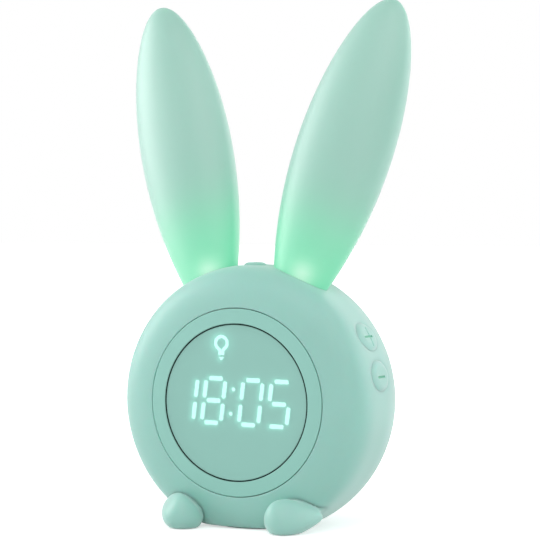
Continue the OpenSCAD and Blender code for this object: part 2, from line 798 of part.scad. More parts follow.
module display_lens() {
    color(MINT_GREY, 0.6) along_axis() rotate_extrude($fn = 96) polygon([
        [0, lens_front], [lens_r - 0.2, lens_front], [lens_r, lens_front + 0.2], [lens_r, lens_back],
        [0, lens_back]
    ]);
}

// Seven-bar digits: bars run clockwise from the top, the middle bar last
function slanted(p) = [p[0] + p[1] * tan(digit_slant), p[1]];
function bar_place(bar) =
    let (x = digit_width / 2, y = digit_height / 2)
    [[0, y], [x, y / 2], [x, -y / 2], [0, -y], [-x, -y / 2], [-x, y / 2], [0, 0]][bar];
function bar_is_level(bar) = bar == 0 || bar == 3 || bar == 6;
module digit_bar(bar, grow) {
    centre = bar_place(bar);
    half = (bar_is_level(bar) ? level_bar : upright_bar) / 2 + grow;
    w = segment_width / 2 + grow;
    nose = w * 0.55;
    outline = [
        [half, nose - w / 4], [half - nose, w], [nose - half, w], [-half, nose - w / 4],
        [-half, w / 4 - nose], [nose - half, -w], [half - nose, -w], [half, w / 4 - nose]
    ];
    polygon([
        for (p = outline) slanted(centre + (bar_is_level(bar) ? p : [-p[1], p[0]]))
    ]);
}
module digit_bars(grow, wanted) {
    for (d = [0:3], bar = [0:6])
        if (wanted < 0 || LIT_BARS[SHOWN_TIME[d]][bar] == wanted)
            translate([digit_x[d], row_z]) digit_bar(bar, grow);
}
module colon_dots(grow) {
    for (side = [-1, 1])
        translate(slanted([0, side * digit_height * 0.275]) + [row_x, row_z])
            circle(r = colon_r + grow, $fn = 24);
}

// A lamp bulb in outline with its cap
module lamp_sign_outline(grow) {
    r = lamp_sign_width / 2 + grow;
    circle(r = r, $fn = 40);
    neck = lamp_cap + grow;
    polygon([[-r * 0.86, -r * 0.5], [-neck, -r * 1.5], [neck, -r * 1.5], [r * 0.86, -r * 0.5]]);
}
module lamp_sign_shape() {
    stroke = 0.85;
    difference() {
        lamp_sign_outline(0);
        lamp_sign_outline(-stroke);
    }
    translate([-lamp_cap, -lamp_sign_width * 0.88]) square([2 * lamp_cap, lamp_sign_width * 0.1]);
    polygon([
        [-lamp_cap, -lamp_sign_width * 0.92], [lamp_cap, -lamp_sign_width * 0.92],
        [0, -lamp_sign_width * 1.08]
    ]);
}

module segment_mask() {
    color(BLACK) difference() {
        union() {
            along_axis() translate([0, 0, mask_front]) cylinder(r = mask_r, h = mask_depth, $fn = 96);
            along_axis() translate([0, 0, spigot_end + seat])
                cylinder(r = mask_flange_r, h = mask_back - spigot_end - seat, $fn = 96);
        }
        face_slab(mask_front - 1, mask_back + 1) {
            digit_bars(pocket_slack, -1);
            colon_dots(pocket_slack);
            translate(lamp_sign_place) {
                lamp_sign_outline(pocket_slack);
                translate([-lamp_cap - 2 * pocket_slack, -lamp_sign_width * 1.12])
                    square([2 * lamp_cap + 4 * pocket_slack, lamp_sign_width * 0.9]);
            }
        }
    }
}

module lit_segments() {
    color(GLOW) face_slab(mask_front + bar_front, mask_front + bar_front + bar_depth) {
        digit_bars(0, 1);
        colon_dots(0);
    }
}

module unlit_segments() {
    color(UNLIT) face_slab(mask_front + bar_front, mask_front + bar_front + bar_depth)
        digit_bars(0, 0);
}

module lamp_sign() {
    color(GLOW) face_slab(mask_front + bar_front, mask_front + bar_front + bar_depth)
        translate(lamp_sign_place) lamp_sign_shape();
}

module display_board() {
    color(BOARD_GREEN) face_slab(display_board_front, display_board_back) difference() {
        union() {
            circle(r = display_board_r, $fn = 96);
            for (angle = display_screw_angles) {
                rotate(-angle) translate([-display_lug_r, 0]) square([2 * display_lug_r, display_screw_r]);
                at_angle(angle, display_screw_r) circle(r = display_lug_r, $fn = 32);
            }
        }
        for (angle = display_screw_angles)
            at_angle(angle, display_screw_r) circle(r = DISPLAY_SCREW[2] + screw_clearance, $fn = 24);
    }
}

module segment_leds() {
    color(GOLD) {
        face_slab(display_board_front - led_size[2], display_board_front) {
            for (d = [0:3], bar = [0:6])
                translate([digit_x[d], row_z] + slanted(bar_place(bar)))
                    rotate(bar_is_level(bar) ? 0 : 90) square([led_size[0], led_size[1]], center = true);
            translate(lamp_sign_place) square([led_size[0], led_size[1]], center = true);
        }
    }
}

module display_screws() {
    color(STEEL) for (angle = display_screw_angles)
        at_button(angle, 0) translate([0, display_board_back + slip, display_screw_r])
            rotate([-90, 0, 0]) screw(DISPLAY_SCREW);
}

// Main board with a tab behind each switch and each screw
module main_board() {
    color(BOARD_GREEN) face_slab(main_board_front, main_board_back) difference() {
        union() {
            circle(r = main_board_r, $fn = 96);
            for (angle = BUTTON_ANGLES) rotate(-angle)
                translate([-switch_tab[0] / 2, 0]) square(switch_tab);
            for (angle = board_boss_angles) {
                rotate(-angle) translate([-board_boss_radius, 0])
                    square([2 * board_boss_radius, board_boss_r]);
                at_angle(angle, board_boss_r) circle(r = board_boss_radius, $fn = 32);
            }
        }
        for (angle = board_boss_angles)
            at_angle(angle, board_boss_r) circle(r = BOARD_SCREW[2] + screw_clearance, $fn = 24);
    }
}

module board_chips() {
    color(BLACK) face_slab(main_board_back, main_board_back + chip_height)
        for (chip = CHIPS)
            translate([chip[0], chip[1]]) square([chip[2], chip[3]]);
}

module lead_connectors() {
    color(SHELL_WHITE) face_slab(main_board_back, connector_back)
        for (place = CONNECTORS)
            translate(place) square([connector_size[0], connector_size[1]], center = true);
}

module board_header() {
    color(BLACK) face_slab(display_board_back + slip, main_board_front - slip)
        translate([0, -header_drop]) square(header_size, center = true);
}

module tactile_switches() {
    for (angle = BUTTON_ANGLES) at_button(angle, switch_y) {
        color(BLACK) translate([-switch_size[0] / 2, -switch_size[1] / 2, switch_base]) cube(switch_size);
        color(SHELL_WHITE) translate([0, 0, switch_base + switch_size[2] - 0.1])
            cylinder(r = actuator_r, h = actuator_length + 0.1, $fn = 32);
    }
}

module board_screws() {
    color(STEEL) for (angle = board_boss_angles)
        at_button(angle, 0) translate([0, main_board_back + slip, board_boss_r])
            rotate([-90, 0, 0]) screw(BOARD_SCREW);
}

module battery_cell() {
    color(BATTERY_GREY) translate([-battery_size[0] / 2, battery_y, battery_z - battery_size[2] / 2])
        cube(battery_size);
}

// Tray behind the battery, open at the front and the top
module battery_cradle() {
    w = battery_size[0] + 2 * seat;
    h = battery_size[2] + seat;
    floor_z = battery_z - battery_size[2] / 2 - seat;
    color(SHELL_WHITE) difference() {
        translate([-w / 2 - cradle_wall, battery_y + cradle_setback, floor_z - cradle_wall])
            cube([w + 2 * cradle_wall, cradle_back - battery_y - cradle_setback, h + cradle_wall]);
        translate([-w / 2, battery_y, floor_z])
            cube([w, cradle_back - cradle_wall - battery_y, far]);
        for (side = [-1, 1])
            translate([side * cradle_post_x, 0, battery_z]) rotate([-90, 0, 0])
                cylinder(r = stake_r + slip, h = far, $fn = 24);
    }
}

module battery_lead() {
    color(LEAD_RED) lead(BATTERY_ROUTE);
}

// Speaker with its magnet towards the front of the clock
module speaker() {
    magnet_r = speaker_r * 0.57;
    color(BLACK) translate([0, 0, speaker_z]) rotate([-90, 0, 0]) rotate_extrude($fn = 64) polygon([
        [0, speaker_back], [magnet_r, speaker_back], [magnet_r, speaker_back + 2.4],
        [speaker_r - speaker_rim, speaker_front - speaker_rim], [speaker_r, speaker_front - speaker_rim],
        [speaker_r, speaker_front], [speaker_r - speaker_rim, speaker_front],
        [speaker_r * 0.4, speaker_front - 2], [0, speaker_front - 1.4]
    ]);
}

module speaker_gasket() {
    color(BATTERY_GREY) translate([0, panel_inside - speaker_gasket_thickness - slip, speaker_z])
        rotate([-90, 0, 0]) difference() {
            cylinder(r = speaker_r - slip, h = speaker_gasket_thickness, $fn = 64);
            translate([0, 0, -1]) cylinder(r = speaker_r - 2, h = 3, $fn = 64);
        }
}

module speaker_lead() {
    color(LEAD_RED) lead(SPEAKER_ROUTE);
}

// Charging socket: a metal shell with a tongue inside its mouth
module usb_socket() {
    mouth = 4.5;
    wall = 0.35;
    front = panel_y - port_depth - seat;
    color(STEEL) difference() {
        translate([-socket_size[0] / 2, front - socket_size[1], port_z - socket_size[2] / 2])
            cube(socket_size);
        translate([-socket_size[0] / 2 + wall, front - mouth, port_z - socket_size[2] / 2 + wall])
            cube([socket_size[0] - 2 * wall, mouth + 1, socket_size[2] - 2 * wall]);
    }
    color(BLACK) translate([-socket_size[0] / 2 + 1, front - mouth - 0.1, port_z - 0.35])
        cube([socket_size[0] - 2, mouth - 0.5, 0.7]);
}

module usb_board() {
    color(BOARD_GREEN)
        translate([-usb_board_size[0] / 2, usb_board_front, usb_z]) cube(usb_board_size);
}

module usb_lead() {
    color(LEAD_RED) lead(USB_ROUTE);
}

// Egg-shaped foot, flat on the table and hollowed where the body rests on it.
// It bulges low down, leans outwards, and its peg goes through the skin into the front shell.
function foot_ring(a) =
    let (u = -cos(a), s = sin(a) * (1 - foot_taper * u))
    [
        for (i = [0:foot_sides - 1])
            let (
                t = -360 * i / foot_sides,
                h = foot_half_height * s * sin(t),
                bulge = 1 - foot_sag * s * sin(t)
            )
            [foot_width / 2 * s * cos(t) * bulge + foot_lean * h, foot_length / 2 * u, h]
    ];
module foot(side) {
    blunt_end = 4;
    color(MINT) difference() {
        union() {
            difference() {
                mirror([side < 0 ? 1 : 0, 0, 0]) translate([foot_x, -foot_y, foot_middle])
                    rotate(-foot_turn) ring_stack([
                        for (i = [0:foot_steps])
                            foot_ring(blunt_end + (180 - 2 * blunt_end) * i / foot_steps)
                    ]);
                body_solid(-foot_gap);
            }
            at_peg(side) translate([0, 0, -peg_root]) cylinder(r = peg_r, h = peg_end + peg_root, $fn = 32);
        }
        translate([-far / 2, -far / 2, -far]) cube([far, far, far]);
        at_peg(side) translate([0, 0, peg_boss_end - FOOT_SCREW[3] - 1])
            cylinder(r = FOOT_SCREW[2] + slip, h = far, $fn = 24);
    }
}
module left_foot() {
    foot(-1);
}
module right_foot() {
    foot(1);
}

module foot_screws() {
    color(STEEL) for (side = [-1, 1])
        at_peg(side) translate([0, 0, peg_boss_end + slip]) screw(FOOT_SCREW);
}

// Hollow ear blade with a neck and a clamping flange below it
module ear(side) {
    bore = [
        for (i = [ear_steps - 2:-1:0])
            let (h = ear_height(cavity_tip * i / (ear_steps - 2)))
            oval_ring(ear_half_width(h) - ear_wall, ear_half_depth(h) - ear_wall, h)
    ];
    neck_bore = [
        for (h = [-ear_root_depth - 0.5, -ear_end]) oval_ring(ear_bore[0], ear_bore[1], h)
    ];
    flange = [neck[0] + flange_step, neck[1] + flange_step];
    root = [
        oval_ring(flange[0], flange[1], -ear_end), oval_ring(flange[0], flange[1], -neck_end),
        oval_ring(neck[0], neck[1], -neck_end), oval_ring(neck[0], neck[1], -ear_root_depth)
    ];
    blade = [
        for (i = [0:ear_steps])
            let (h = ear_height(ear_tip * i / ear_steps))
            oval_ring(ear_half_width(h), ear_half_depth(h), h)
    ];
    color(EAR_MINT) at_ear(side) ring_stack(concat(bore, neck_bore, root, blade));
}
module left_ear() {
    ear(-1);
}
module right_ear() {
    ear(1);
}

// Oval clamp ring under an ear's flange, held by one screw
module ear_collar(side) {
    rim = flange_step + collar_rim;
    color(SHELL_WHITE) at_ear(side) translate([0, 0, -collar_bottom])
        linear_extrude(collar_thickness) difference() {
            union() {
                oval(neck[0] + rim, neck[1] + rim);
                translate([0, tab_y]) circle(r = tab_r, $fn = 32);
                translate([-tab_r, 0]) square([2 * tab_r, tab_y]);
            }
            oval(ear_bore[0] + fit, ear_bore[1] + fit);
            translate([0, tab_y]) circle(r = COLLAR_SCREW[2] + screw_clearance, $fn = 24);
        }
}
module left_ear_collar() {
    ear_collar(-1);
}
module right_ear_collar() {
    ear_collar(1);
}

module ear_board(side) {
    color(BOARD_GREEN) at_ear(side) translate([0, 0, -lamp_board_top - lamp_board_thickness])
        linear_extrude(lamp_board_thickness)
            oval(ear_bore[0] + lamp_board_rim, ear_bore[1] + lamp_board_rim);
}
module left_ear_board() {
    ear_board(-1);
}
module right_ear_board() {
    ear_board(1);
}

module ear_leds() {
    color(GOLD) for (side = [-1, 1], x = [-lamp_led_x, lamp_led_x])
        at_ear(side) translate([x - lamp_led[0] / 2, -lamp_led[1] / 2, -lamp_board_top]) cube(lamp_led);
}

module collar_screws() {
    color(STEEL) for (side = [-1, 1])
        at_ear(side) translate([0, tab_y, -collar_bottom - slip]) rotate([180, 0, 0])
            screw(COLLAR_SCREW);
}

module left_ear_lead() {
    color(LEAD_RED) lead(mirrored(EAR_ROUTE));
}
module right_ear_lead() {
    color(LEAD_RED) lead(EAR_ROUTE);
}

// Side button: a curved cap a little proud of the skin, a flange behind the shell and a stem
module side_button(angle) {
    color(MINT) {
        intersection() {
            body_solid(-side_button_rise);
            at_button(angle, side_button_y) translate([0, 0, cap_bottom])
                linear_extrude(far) side_button_shape(0, 0);
        }
        intersection() {
            body_solid(flange_surface);
            at_button(angle, side_button_y) translate([0, 0, cap_bottom])
                linear_extrude(far) side_button_shape(side_flange_step, button_flange_step);
        }
        at_button(angle, switch_y) translate([0, 0, stem_end])
            cylinder(r = stem_r, h = cap_bottom - stem_end + 1, $fn = 32);
    }
}
module plus_button() {
    side_button(upper_button_angle);
}
module minus_button() {
    side_button(lower_button_angle);
}
module mode_button() {
    side_button(-upper_button_angle);
}
module alarm_button() {
    side_button(-lower_button_angle);
}

// Round, slightly dished top button
module top_button() {
    r = top_button_diameter / 2;
    top = body_r + top_button_rise;
    color(MINT) at_button(0, ear_y) rotate_extrude($fn = 64) polygon([
        [0, stem_end], [stem_r, stem_end], [stem_r, cap_bottom], [r + button_flange_step, cap_bottom],
        [r + button_flange_step, cap_bottom + button_flange_depth], [r, cap_bottom + button_flange_depth],
        [r, top - 0.5], [r - 0.15, top - 0.15], [r - 0.5, top], [r - 1.1, top],
        [r * 0.5, top - 0.25], [0, top - 0.3]
    ]);
}

silicone_skin();
front_shell();
rear_shell();
shell_screws();
base_pad();
face_bezel();
lens_gasket();
display_lens();
segment_mask();
lit_segments();
unlit_segments();
lamp_sign();
display_board();
segment_leds();
display_screws();
main_board();
board_chips();
lead_connectors();
board_header();
tactile_switches();
board_screws();
battery_cell();
battery_cradle();
battery_lead();
speaker();
speaker_gasket();
speaker_lead();
usb_socket();
usb_board();
usb_lead();
left_foot();
right_foot();
foot_screws();
left_ear();
right_ear();
left_ear_collar();
right_ear_collar();
left_ear_board();
right_ear_board();
ear_leds();
collar_screws();
left_ear_lead();
right_ear_lead();
plus_button();
minus_button();
top_button();
mode_button();
alarm_button();
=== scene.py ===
import math

import bmesh
import bpy
import numpy as np
from mathutils import Matrix, Vector
from mathutils.geometry import delaunay_2d_cdt


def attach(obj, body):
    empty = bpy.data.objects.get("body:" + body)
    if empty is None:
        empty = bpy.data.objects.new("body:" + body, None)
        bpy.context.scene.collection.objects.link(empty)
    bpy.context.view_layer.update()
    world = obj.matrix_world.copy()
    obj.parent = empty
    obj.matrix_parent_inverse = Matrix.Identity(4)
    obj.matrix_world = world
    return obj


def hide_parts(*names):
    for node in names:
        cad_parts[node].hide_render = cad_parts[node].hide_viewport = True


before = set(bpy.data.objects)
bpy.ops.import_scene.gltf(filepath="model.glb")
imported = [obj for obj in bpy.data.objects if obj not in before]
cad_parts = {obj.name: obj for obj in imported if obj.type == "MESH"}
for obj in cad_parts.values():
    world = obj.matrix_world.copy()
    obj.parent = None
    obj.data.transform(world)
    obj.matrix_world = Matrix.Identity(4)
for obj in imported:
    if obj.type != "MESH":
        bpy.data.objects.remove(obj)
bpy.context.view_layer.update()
MM = 0.001

# Sizes in millimetres, shares, and angles in degrees, as the solids have them
BODY_R, AXIS_Z = 50.0, 46.6
FACE_DEPTH, FACE_POWER = 22.0, 5.2
BACK_DEPTH, BACK_POWER = 40.0, 2.33
UNDERSIDE = 0.6
SKIN_OPENING, PANEL_OPENING = 34.55, 24.25
BEZEL_R, GASKET_R, GASKET_LINE, LENS_R = 34.3, 28.45, 0.34, 28.4
LENS_FRONT, LENS_THICKNESS = -21.55, 1.2
EAR_LENGTH, EAR_ROOT_WIDTH, EAR_SWELL, EAR_TAPER = 106.5, 23.3, 3.26, 1.4
EAR_SLIMNESS, EAR_ROOT_GAIN, EAR_SUNK = 0.5, 0.12, 6.5
EAR_LEAN_OUT, EAR_LEAN_BACK, EAR_GAP, EAR_Y = 16.3, 8.8, 14.8, -4.8
FOOT_LONG, FOOT_WIDE, FOOT_HIGH = 10.8, 6.1, 6.5
FOOT_TAPER, FOOT_SAG, FOOT_LEAN = 0.45, 0.35, 0.15
FOOT_AT, FOOT_TURN = (23.5, -21.8, 5.9), 50.0
BUTTON_Y, BUTTON_ROUND, BUTTON_ALONG, BUTTON_GAP = -2.0, 5.6, 7.2, 3.9
UPPER_BUTTON = 61.0
LOWER_BUTTON = UPPER_BUTTON + 2 * math.degrees(math.asin((2 * BUTTON_ROUND + BUTTON_GAP) / 2 / BODY_R))
TOP_BUTTON_R, TOP_BUTTON_RISE = 4.3, 0.9

AROUND_BODY = 256                       # points round the turned pieces of the face
WELD_GAP = 0.01                         # points nearer than this are joined


# ---------------------------------------------------------------- meshes

def placed(name, data):
    """A new object in the scene, for a mesh, a lamp or a camera."""
    obj = bpy.data.objects.new(name, data)
    bpy.context.scene.collection.objects.link(obj)
    return obj


def piece(name, points, faces, material, body, stands_for, crease):
    """A mesh from points in millimetres, smooth but for edges sharper than the crease angle in degrees."""
    mesh = bpy.data.meshes.new(name)
    mesh.from_pydata((np.asarray(points) * MM).tolist(), [], faces)
    mesh.validate()
    mesh.polygons.foreach_set("use_smooth", [True] * len(mesh.polygons))
    mesh.set_sharp_from_angle(angle=math.radians(crease))
    mesh.materials.append(material)
    obj = placed(name, mesh)
    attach(obj, body)
    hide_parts(stands_for)
    return obj


def weld(obj):
    """Joins doubled points and turns all faces outwards."""
    mesh = bmesh.new()
    mesh.from_mesh(obj.data)
    bmesh.ops.remove_doubles(mesh, verts=mesh.verts, dist=WELD_GAP * MM)
    bmesh.ops.recalc_face_normals(mesh, faces=mesh.faces)
    mesh.to_mesh(obj.data)
    mesh.free()


def point_values(obj, name, values):
    """Gives a mesh a number for each point, which its material reads by name."""
    obj.data.attributes.new(name, "FLOAT", "POINT").data.foreach_set("value", np.float32(values))


def ring_faces(rings, around, closed_ends=False):
    """Quads between rings of points, each ring having the same number of points, with or without ends."""
    faces = []
    for j in range(rings - 1):
        for i in range(around):
            n = (i + 1) % around
            faces.append((j * around + i, j * around + n, (j + 1) * around + n, (j + 1) * around + i))
    if closed_ends:
        faces.append(tuple(reversed(range(around))))
        faces.append(tuple(range((rings - 1) * around, rings * around)))
    return faces


def shifted(faces, first):
    """Faces for points that start further down a list."""
    return [tuple(first + v for v in face) for face in faces]


def turned(section, around=AROUND_BODY):
    """Points of a section of (r, y) turned about the body's axis."""
    angles = np.linspace(0, 2 * math.pi, around, endpoint=False)
    return [(r * math.sin(t), y, AXIS_Z + r * math.cos(t)) for r, y in section for t in angles]


def front_y(r):
    """How far forwards the body's front lies at a radius."""
    return -FACE_DEPTH * (1 - (r / BODY_R) ** FACE_POWER) ** (1 / FACE_POWER)


def back_y(r):
    """How far back the body's rear lies at a radius."""
    return BACK_DEPTH * (1 - (r / BODY_R) ** BACK_POWER) ** (1 / BACK_POWER)


def arc(centre, radius, start, end, steps=6):
    """Points on an arc from one angle to another in degrees."""
    angles = np.radians(np.linspace(start, end, steps))
    return [(centre[0] + radius * math.cos(t), centre[1] + radius * math.sin(t)) for t in angles]


# ---------------------------------------------------------------- finishes

def linear(code):
    """An sRGB hex colour as linear RGBA."""
    parts = [int(code[i:i + 2], 16) / 255 for i in (1, 3, 5)]
    return tuple(c / 12.92 if c <= 0.04045 else ((c + 0.055) / 1.055) ** 2.4 for c in parts) + (1.0,)


def add(tree, kind, settings=None, inputs=None):
    """Adds a node, with its settings, and its inputs set or linked."""
    made = tree.nodes.new(kind)
    for key, value in (settings or {}).items():
        setattr(made, key, value)
    for key, value in (inputs or {}).items():
        if isinstance(value, bpy.types.NodeSocket):
            tree.links.new(value, made.inputs[key])
        else:
            made.inputs[key].default_value = value
    return made


def blank(name):
    """A new material without nodes, and its tree."""
    material = bpy.data.materials.new(name)
    material.use_nodes = True
    material.node_tree.nodes.clear()
    return material, material.node_tree


def per_mm(size):
    """Noise scale for features of a size in millimetres."""
    return 1 / (size * MM)


GLOSS_DRIFT = 0.04


def finish(name, colour, roughness, grain, relief, drift, patch=12.0, cells=False, **shader):
    """A moulded, cast or coated surface: an even colour with slow drift, and a grain in relief and gloss.

    grain and relief are the grain's width and height in mm, patch is the size of the slow drift in mm,
    drift its share of the colour, and cells gives the grain rounded bumps in place of a cloudy texture."""
    material, tree = blank(name)
    place = add(tree, "ShaderNodeTexCoord")
    slow = add(tree, "ShaderNodeTexNoise", None,
               {"Vector": place.outputs["Object"], "Scale": per_mm(patch), "Detail": 2.0, "Roughness": 0.5})
    if cells:
        fine = add(tree, "ShaderNodeTexVoronoi", {"feature": "SMOOTH_F1"},
                   {"Vector": place.outputs["Object"], "Scale": per_mm(grain)})
        height = fine.outputs["Distance"]
    else:
        fine = add(tree, "ShaderNodeTexNoise", None,
                   {"Vector": place.outputs["Object"], "Scale": per_mm(grain),
                    "Detail": 3.0, "Roughness": 0.6})
        height = fine.outputs["Fac"]
    base = Vector(linear(colour)[:3])
    tones = add(tree, "ShaderNodeValToRGB", None, {"Fac": slow.outputs["Fac"]})
    darker, lighter = tones.color_ramp.elements
    darker.position = 0.3
    lighter.position = 0.7
    darker.color = (*(base * (1 - drift)), 1)
    lighter.color = (*[min(1, c * (1 + drift)) for c in base], 1)
    gloss = add(tree, "ShaderNodeMapRange", None,
                {"Value": height, "To Min": roughness - GLOSS_DRIFT, "To Max": roughness + GLOSS_DRIFT})
    bump = add(tree, "ShaderNodeBump", None, {"Height": height, "Strength": 1.0, "Distance": relief * MM})
    surface = add(tree, "ShaderNodeBsdfPrincipled", None,
                  {"Base Color": tones.outputs["Color"], "Roughness": gloss.outputs["Result"],
                   "Normal": bump.outputs["Normal"], **shader})
    add(tree, "ShaderNodeOutputMaterial", None, {"Surface": surface.outputs["BSDF"]})
    return material


# Liquid silicone rubber, moulded against a blasted tool: matte and soft, with pale edges, and a little light
# goes into it. The blasted grain is nearer 0.1 mm wide, and is drawn coarser so that it shows
SILICONE = {"Subsurface Weight": 0.6, "Subsurface Radius": (0.0025, 0.0060, 0.0048), "Subsurface Scale": 0.6,
            "IOR": 1.45, "Specular IOR Level": 0.6, "Sheen Weight": 0.38, "Sheen Roughness": 0.45}
BLASTED = {"grain": 0.6, "relief": 0.006, "drift": 0.012, "patch": 25.0}
skin_silicone = finish("matte_mint_silicone", "#9dd1c6", 0.42, **BLASTED, **SILICONE)
# The feet's copy of the silicone is painted a little lighter than the body's: painted light on the feet
lightened_foot_silicone = finish("matte_mint_silicone_feet_painted_lighter", "#a2d2c8", 0.42, **BLASTED, **SILICONE)
cap_silicone_with_painted_shade = finish("matte_mint_silicone_caps_painted_groove_shade", "#9dd1c6", 0.42, **BLASTED, **SILICONE)
# Painted shade: the floors of the signs' grooves are coloured a deeper green, standing in for the shade and
# the light through the silicone in them
tree = cap_silicone_with_painted_shade.node_tree
groove_shade = add(tree, "ShaderNodeAttribute", {"attribute_name": "groove_shade"})
surface = next(n for n in tree.nodes if n.type == "BSDF_PRINCIPLED")
tones = surface.inputs["Base Color"].links[0].from_socket
deep = add(tree, "ShaderNodeMix", {"data_type": "RGBA"},
           {"Factor": groove_shade.outputs["Fac"], "A": tones, "B": linear("#58b897")})
tree.links.new(deep.outputs["Result"], surface.inputs["Base Color"])
# The same rubber with a grey pigment and a coarser, duller tool face, so that the base grips the table
pad_silicone = finish("ribbed_grey_mint_silicone", "#86b5aa", 0.7, grain=0.8, relief=0.03, drift=0.03,
                      **SILICONE)
# ABS moulded against a fine spark-eroded tool: satin, with a grain about half a millimetre wide
bezel_abs = finish("satin_mint_abs", "#97cec2", 0.48, grain=0.5, relief=0.006, drift=0.01, patch=30.0,
                   **{"IOR": 1.52, "Specular IOR Level": 0.4})
panel_abs = finish("grained_mint_abs", "#9ccabf", 0.55, grain=0.55, relief=0.02, drift=0.02, cells=True,
                   **{"IOR": 1.52})
shell_abs = finish("grained_white_abs", "#dfe6e3", 0.5, grain=0.55, relief=0.02, drift=0.02, cells=True,
                   **{"IOR": 1.52})
# The mask behind the lens is duller still, so that only the light pipes show in it
mask_abs = finish("matte_mint_abs_mask", "#8fc0b4", 0.6, grain=0.4, relief=0.01, drift=0.01, **{"IOR": 1.52})
# Moulded rubber filled with soot: nearly black and without gloss, a thin drawn line round the lens
gasket_rubber = finish("dark_moulded_rubber", "#071f1a", 0.7, grain=0.3, relief=0.005, drift=0.03,
                       **{"Specular IOR Level": 0.2})
# Acrylic light pipes: clear and glossy where unlit
unlit_acrylic = finish("unlit_acrylic", "#8fc0b4", 0.3, grain=0.4, relief=0.004, drift=0.01, **{"IOR": 1.49})
# Glass-fibre board under green solder resist: the weave shows as a fine, slow relief
board_resist = finish("green_solder_resist", "#1f6b45", 0.35, grain=0.5, relief=0.01, drift=0.12, patch=3.0,
                      **{"IOR": 1.5, "Coat Weight": 0.3, "Coat Roughness": 0.2})
# Epoxy moulded round chips and switches: black, slightly uneven and half matt
black_resin = finish("black_moulded_resin", "#1c1e1f", 0.45, grain=0.25, relief=0.01, drift=0.08, patch=2.0)
# Nylon moulded in a polished tool: off-white and a little waxy
white_nylon = finish("moulded_white_nylon", "#e6e9e6", 0.42, grain=0.5, relief=0.01, drift=0.02)
# Cast LED resin, tinted by its phosphor: pale yellow and glossy
led_resin = finish("clear_yellow_led_resin", "#f3efc9", 0.2, grain=0.3, relief=0.004, drift=0.05, patch=0.8)
# Rolled steel under a thin zinc coat: grey, with small cloudy patches
screw_steel = finish("zinc_plated_steel", "#b7babd", 0.32, grain=0.2, relief=0.004, drift=0.06, patch=1.5,
                     **{"Metallic": 1.0})
# Deep-drawn steel under bright nickel: smoother and lighter than the screws
socket_steel = finish("nickel_plated_steel", "#c6c8ca", 0.25, grain=0.3, relief=0.002, drift=0.04, patch=2.0,
                      **{"Metallic": 1.0})
# Aluminium foil laminated with nylon, pressed round the cell: shiny with soft dents
battery_foil = finish("laminated_aluminium_foil", "#b4b8bd", 0.38, grain=1.6, relief=0.05, drift=0.05,
                      patch=6.0, **{"Metallic": 0.9})
# Foamed rubber with closed cells: dark grey, dry and pitted
gasket_foam = finish("closed_cell_foam", "#55585a", 0.9, grain=0.35, relief=0.06, drift=0.1, patch=1.5,
                     cells=True)
# PVC drawn over the wires: red and smooth with a low gloss
lead_pvc = finish("soft_red_pvc", "#b3261e", 0.4, grain=0.6, relief=0.01, drift=0.04, patch=4.0)

PIPE_GLOW, PIPE_DRIFT = 2.0, 0.1


def lit_pipe():
    """Acrylic light pipe lit from behind: white with a breath of cyan, and not quite even."""
    material, tree = blank("lit_acrylic")
    place = add(tree, "ShaderNodeTexCoord")
    slow = add(tree, "ShaderNodeTexNoise", None,
               {"Vector": place.outputs["Object"], "Scale": per_mm(3.0), "Detail": 1.0})
    level = add(tree, "ShaderNodeMapRange", None,
                {"Value": slow.outputs["Fac"],
                 "To Min": PIPE_GLOW - PIPE_DRIFT, "To Max": PIPE_GLOW + PIPE_DRIFT})
    # It shines out of its front only: its painted sides keep the light in
    side = add(tree, "ShaderNodeNewGeometry")
    facing = add(tree, "ShaderNodeSeparateXYZ", None, {"Vector": side.outputs["True Normal"]})
    forwards = add(tree, "ShaderNodeMath", {"operation": "ABSOLUTE"}, {0: facing.outputs["Y"]})
    front = add(tree, "ShaderNodeMath", {"operation": "GREATER_THAN"}, {0: forwards.outputs["Value"], 1: 0.5})
    shine = add(tree, "ShaderNodeMath", {"operation": "MULTIPLY"},
                {0: level.outputs["Result"], 1: front.outputs["Value"]})
    surface = add(tree, "ShaderNodeBsdfPrincipled", None,
                  {"Base Color": linear("#8fc0b4"), "Roughness": 0.3, "IOR": 1.49,
                   "Emission Color": linear("#e0ffff"), "Emission Strength": shine.outputs["Value"]})
    add(tree, "ShaderNodeOutputMaterial", None, {"Surface": surface.outputs["BSDF"]})
    return material


lit_acrylic = lit_pipe()


# ---------------------------------------------------------------- silicone skin

# Each button's angle from the top, its place along the body, and its half widths round the body and along it
BUTTONS = {
    "plus_button": (UPPER_BUTTON, BUTTON_Y, BUTTON_ROUND, BUTTON_ALONG),
    "minus_button": (LOWER_BUTTON, BUTTON_Y, BUTTON_ROUND, BUTTON_ALONG),
    "mode_button": (-UPPER_BUTTON, BUTTON_Y, BUTTON_ROUND, BUTTON_ALONG),
    "alarm_button": (-LOWER_BUTTON, BUTTON_Y, BUTTON_ROUND, BUTTON_ALONG),
    "top_button": (0.0, EAR_Y, TOP_BUTTON_R, TOP_BUTTON_R),
}
CAP_GROWTH, HOLE_GROWTH = 0.19, 0.2     # how far the caps and the holes reach past the solid caps
LIP, TURNED_IN = 0.35, 2.0              # radius of the skin's edges, and how far they go on inwards


def quarter_curve(radius, depth, power, count=1500):
    """Radii and depths along a quarter of the body's profile, from the axis to the widest plane."""
    t = np.linspace(0, math.pi / 2, count)
    return radius * np.sin(t) ** (2 / power), depth * np.cos(t) ** (2 / power)


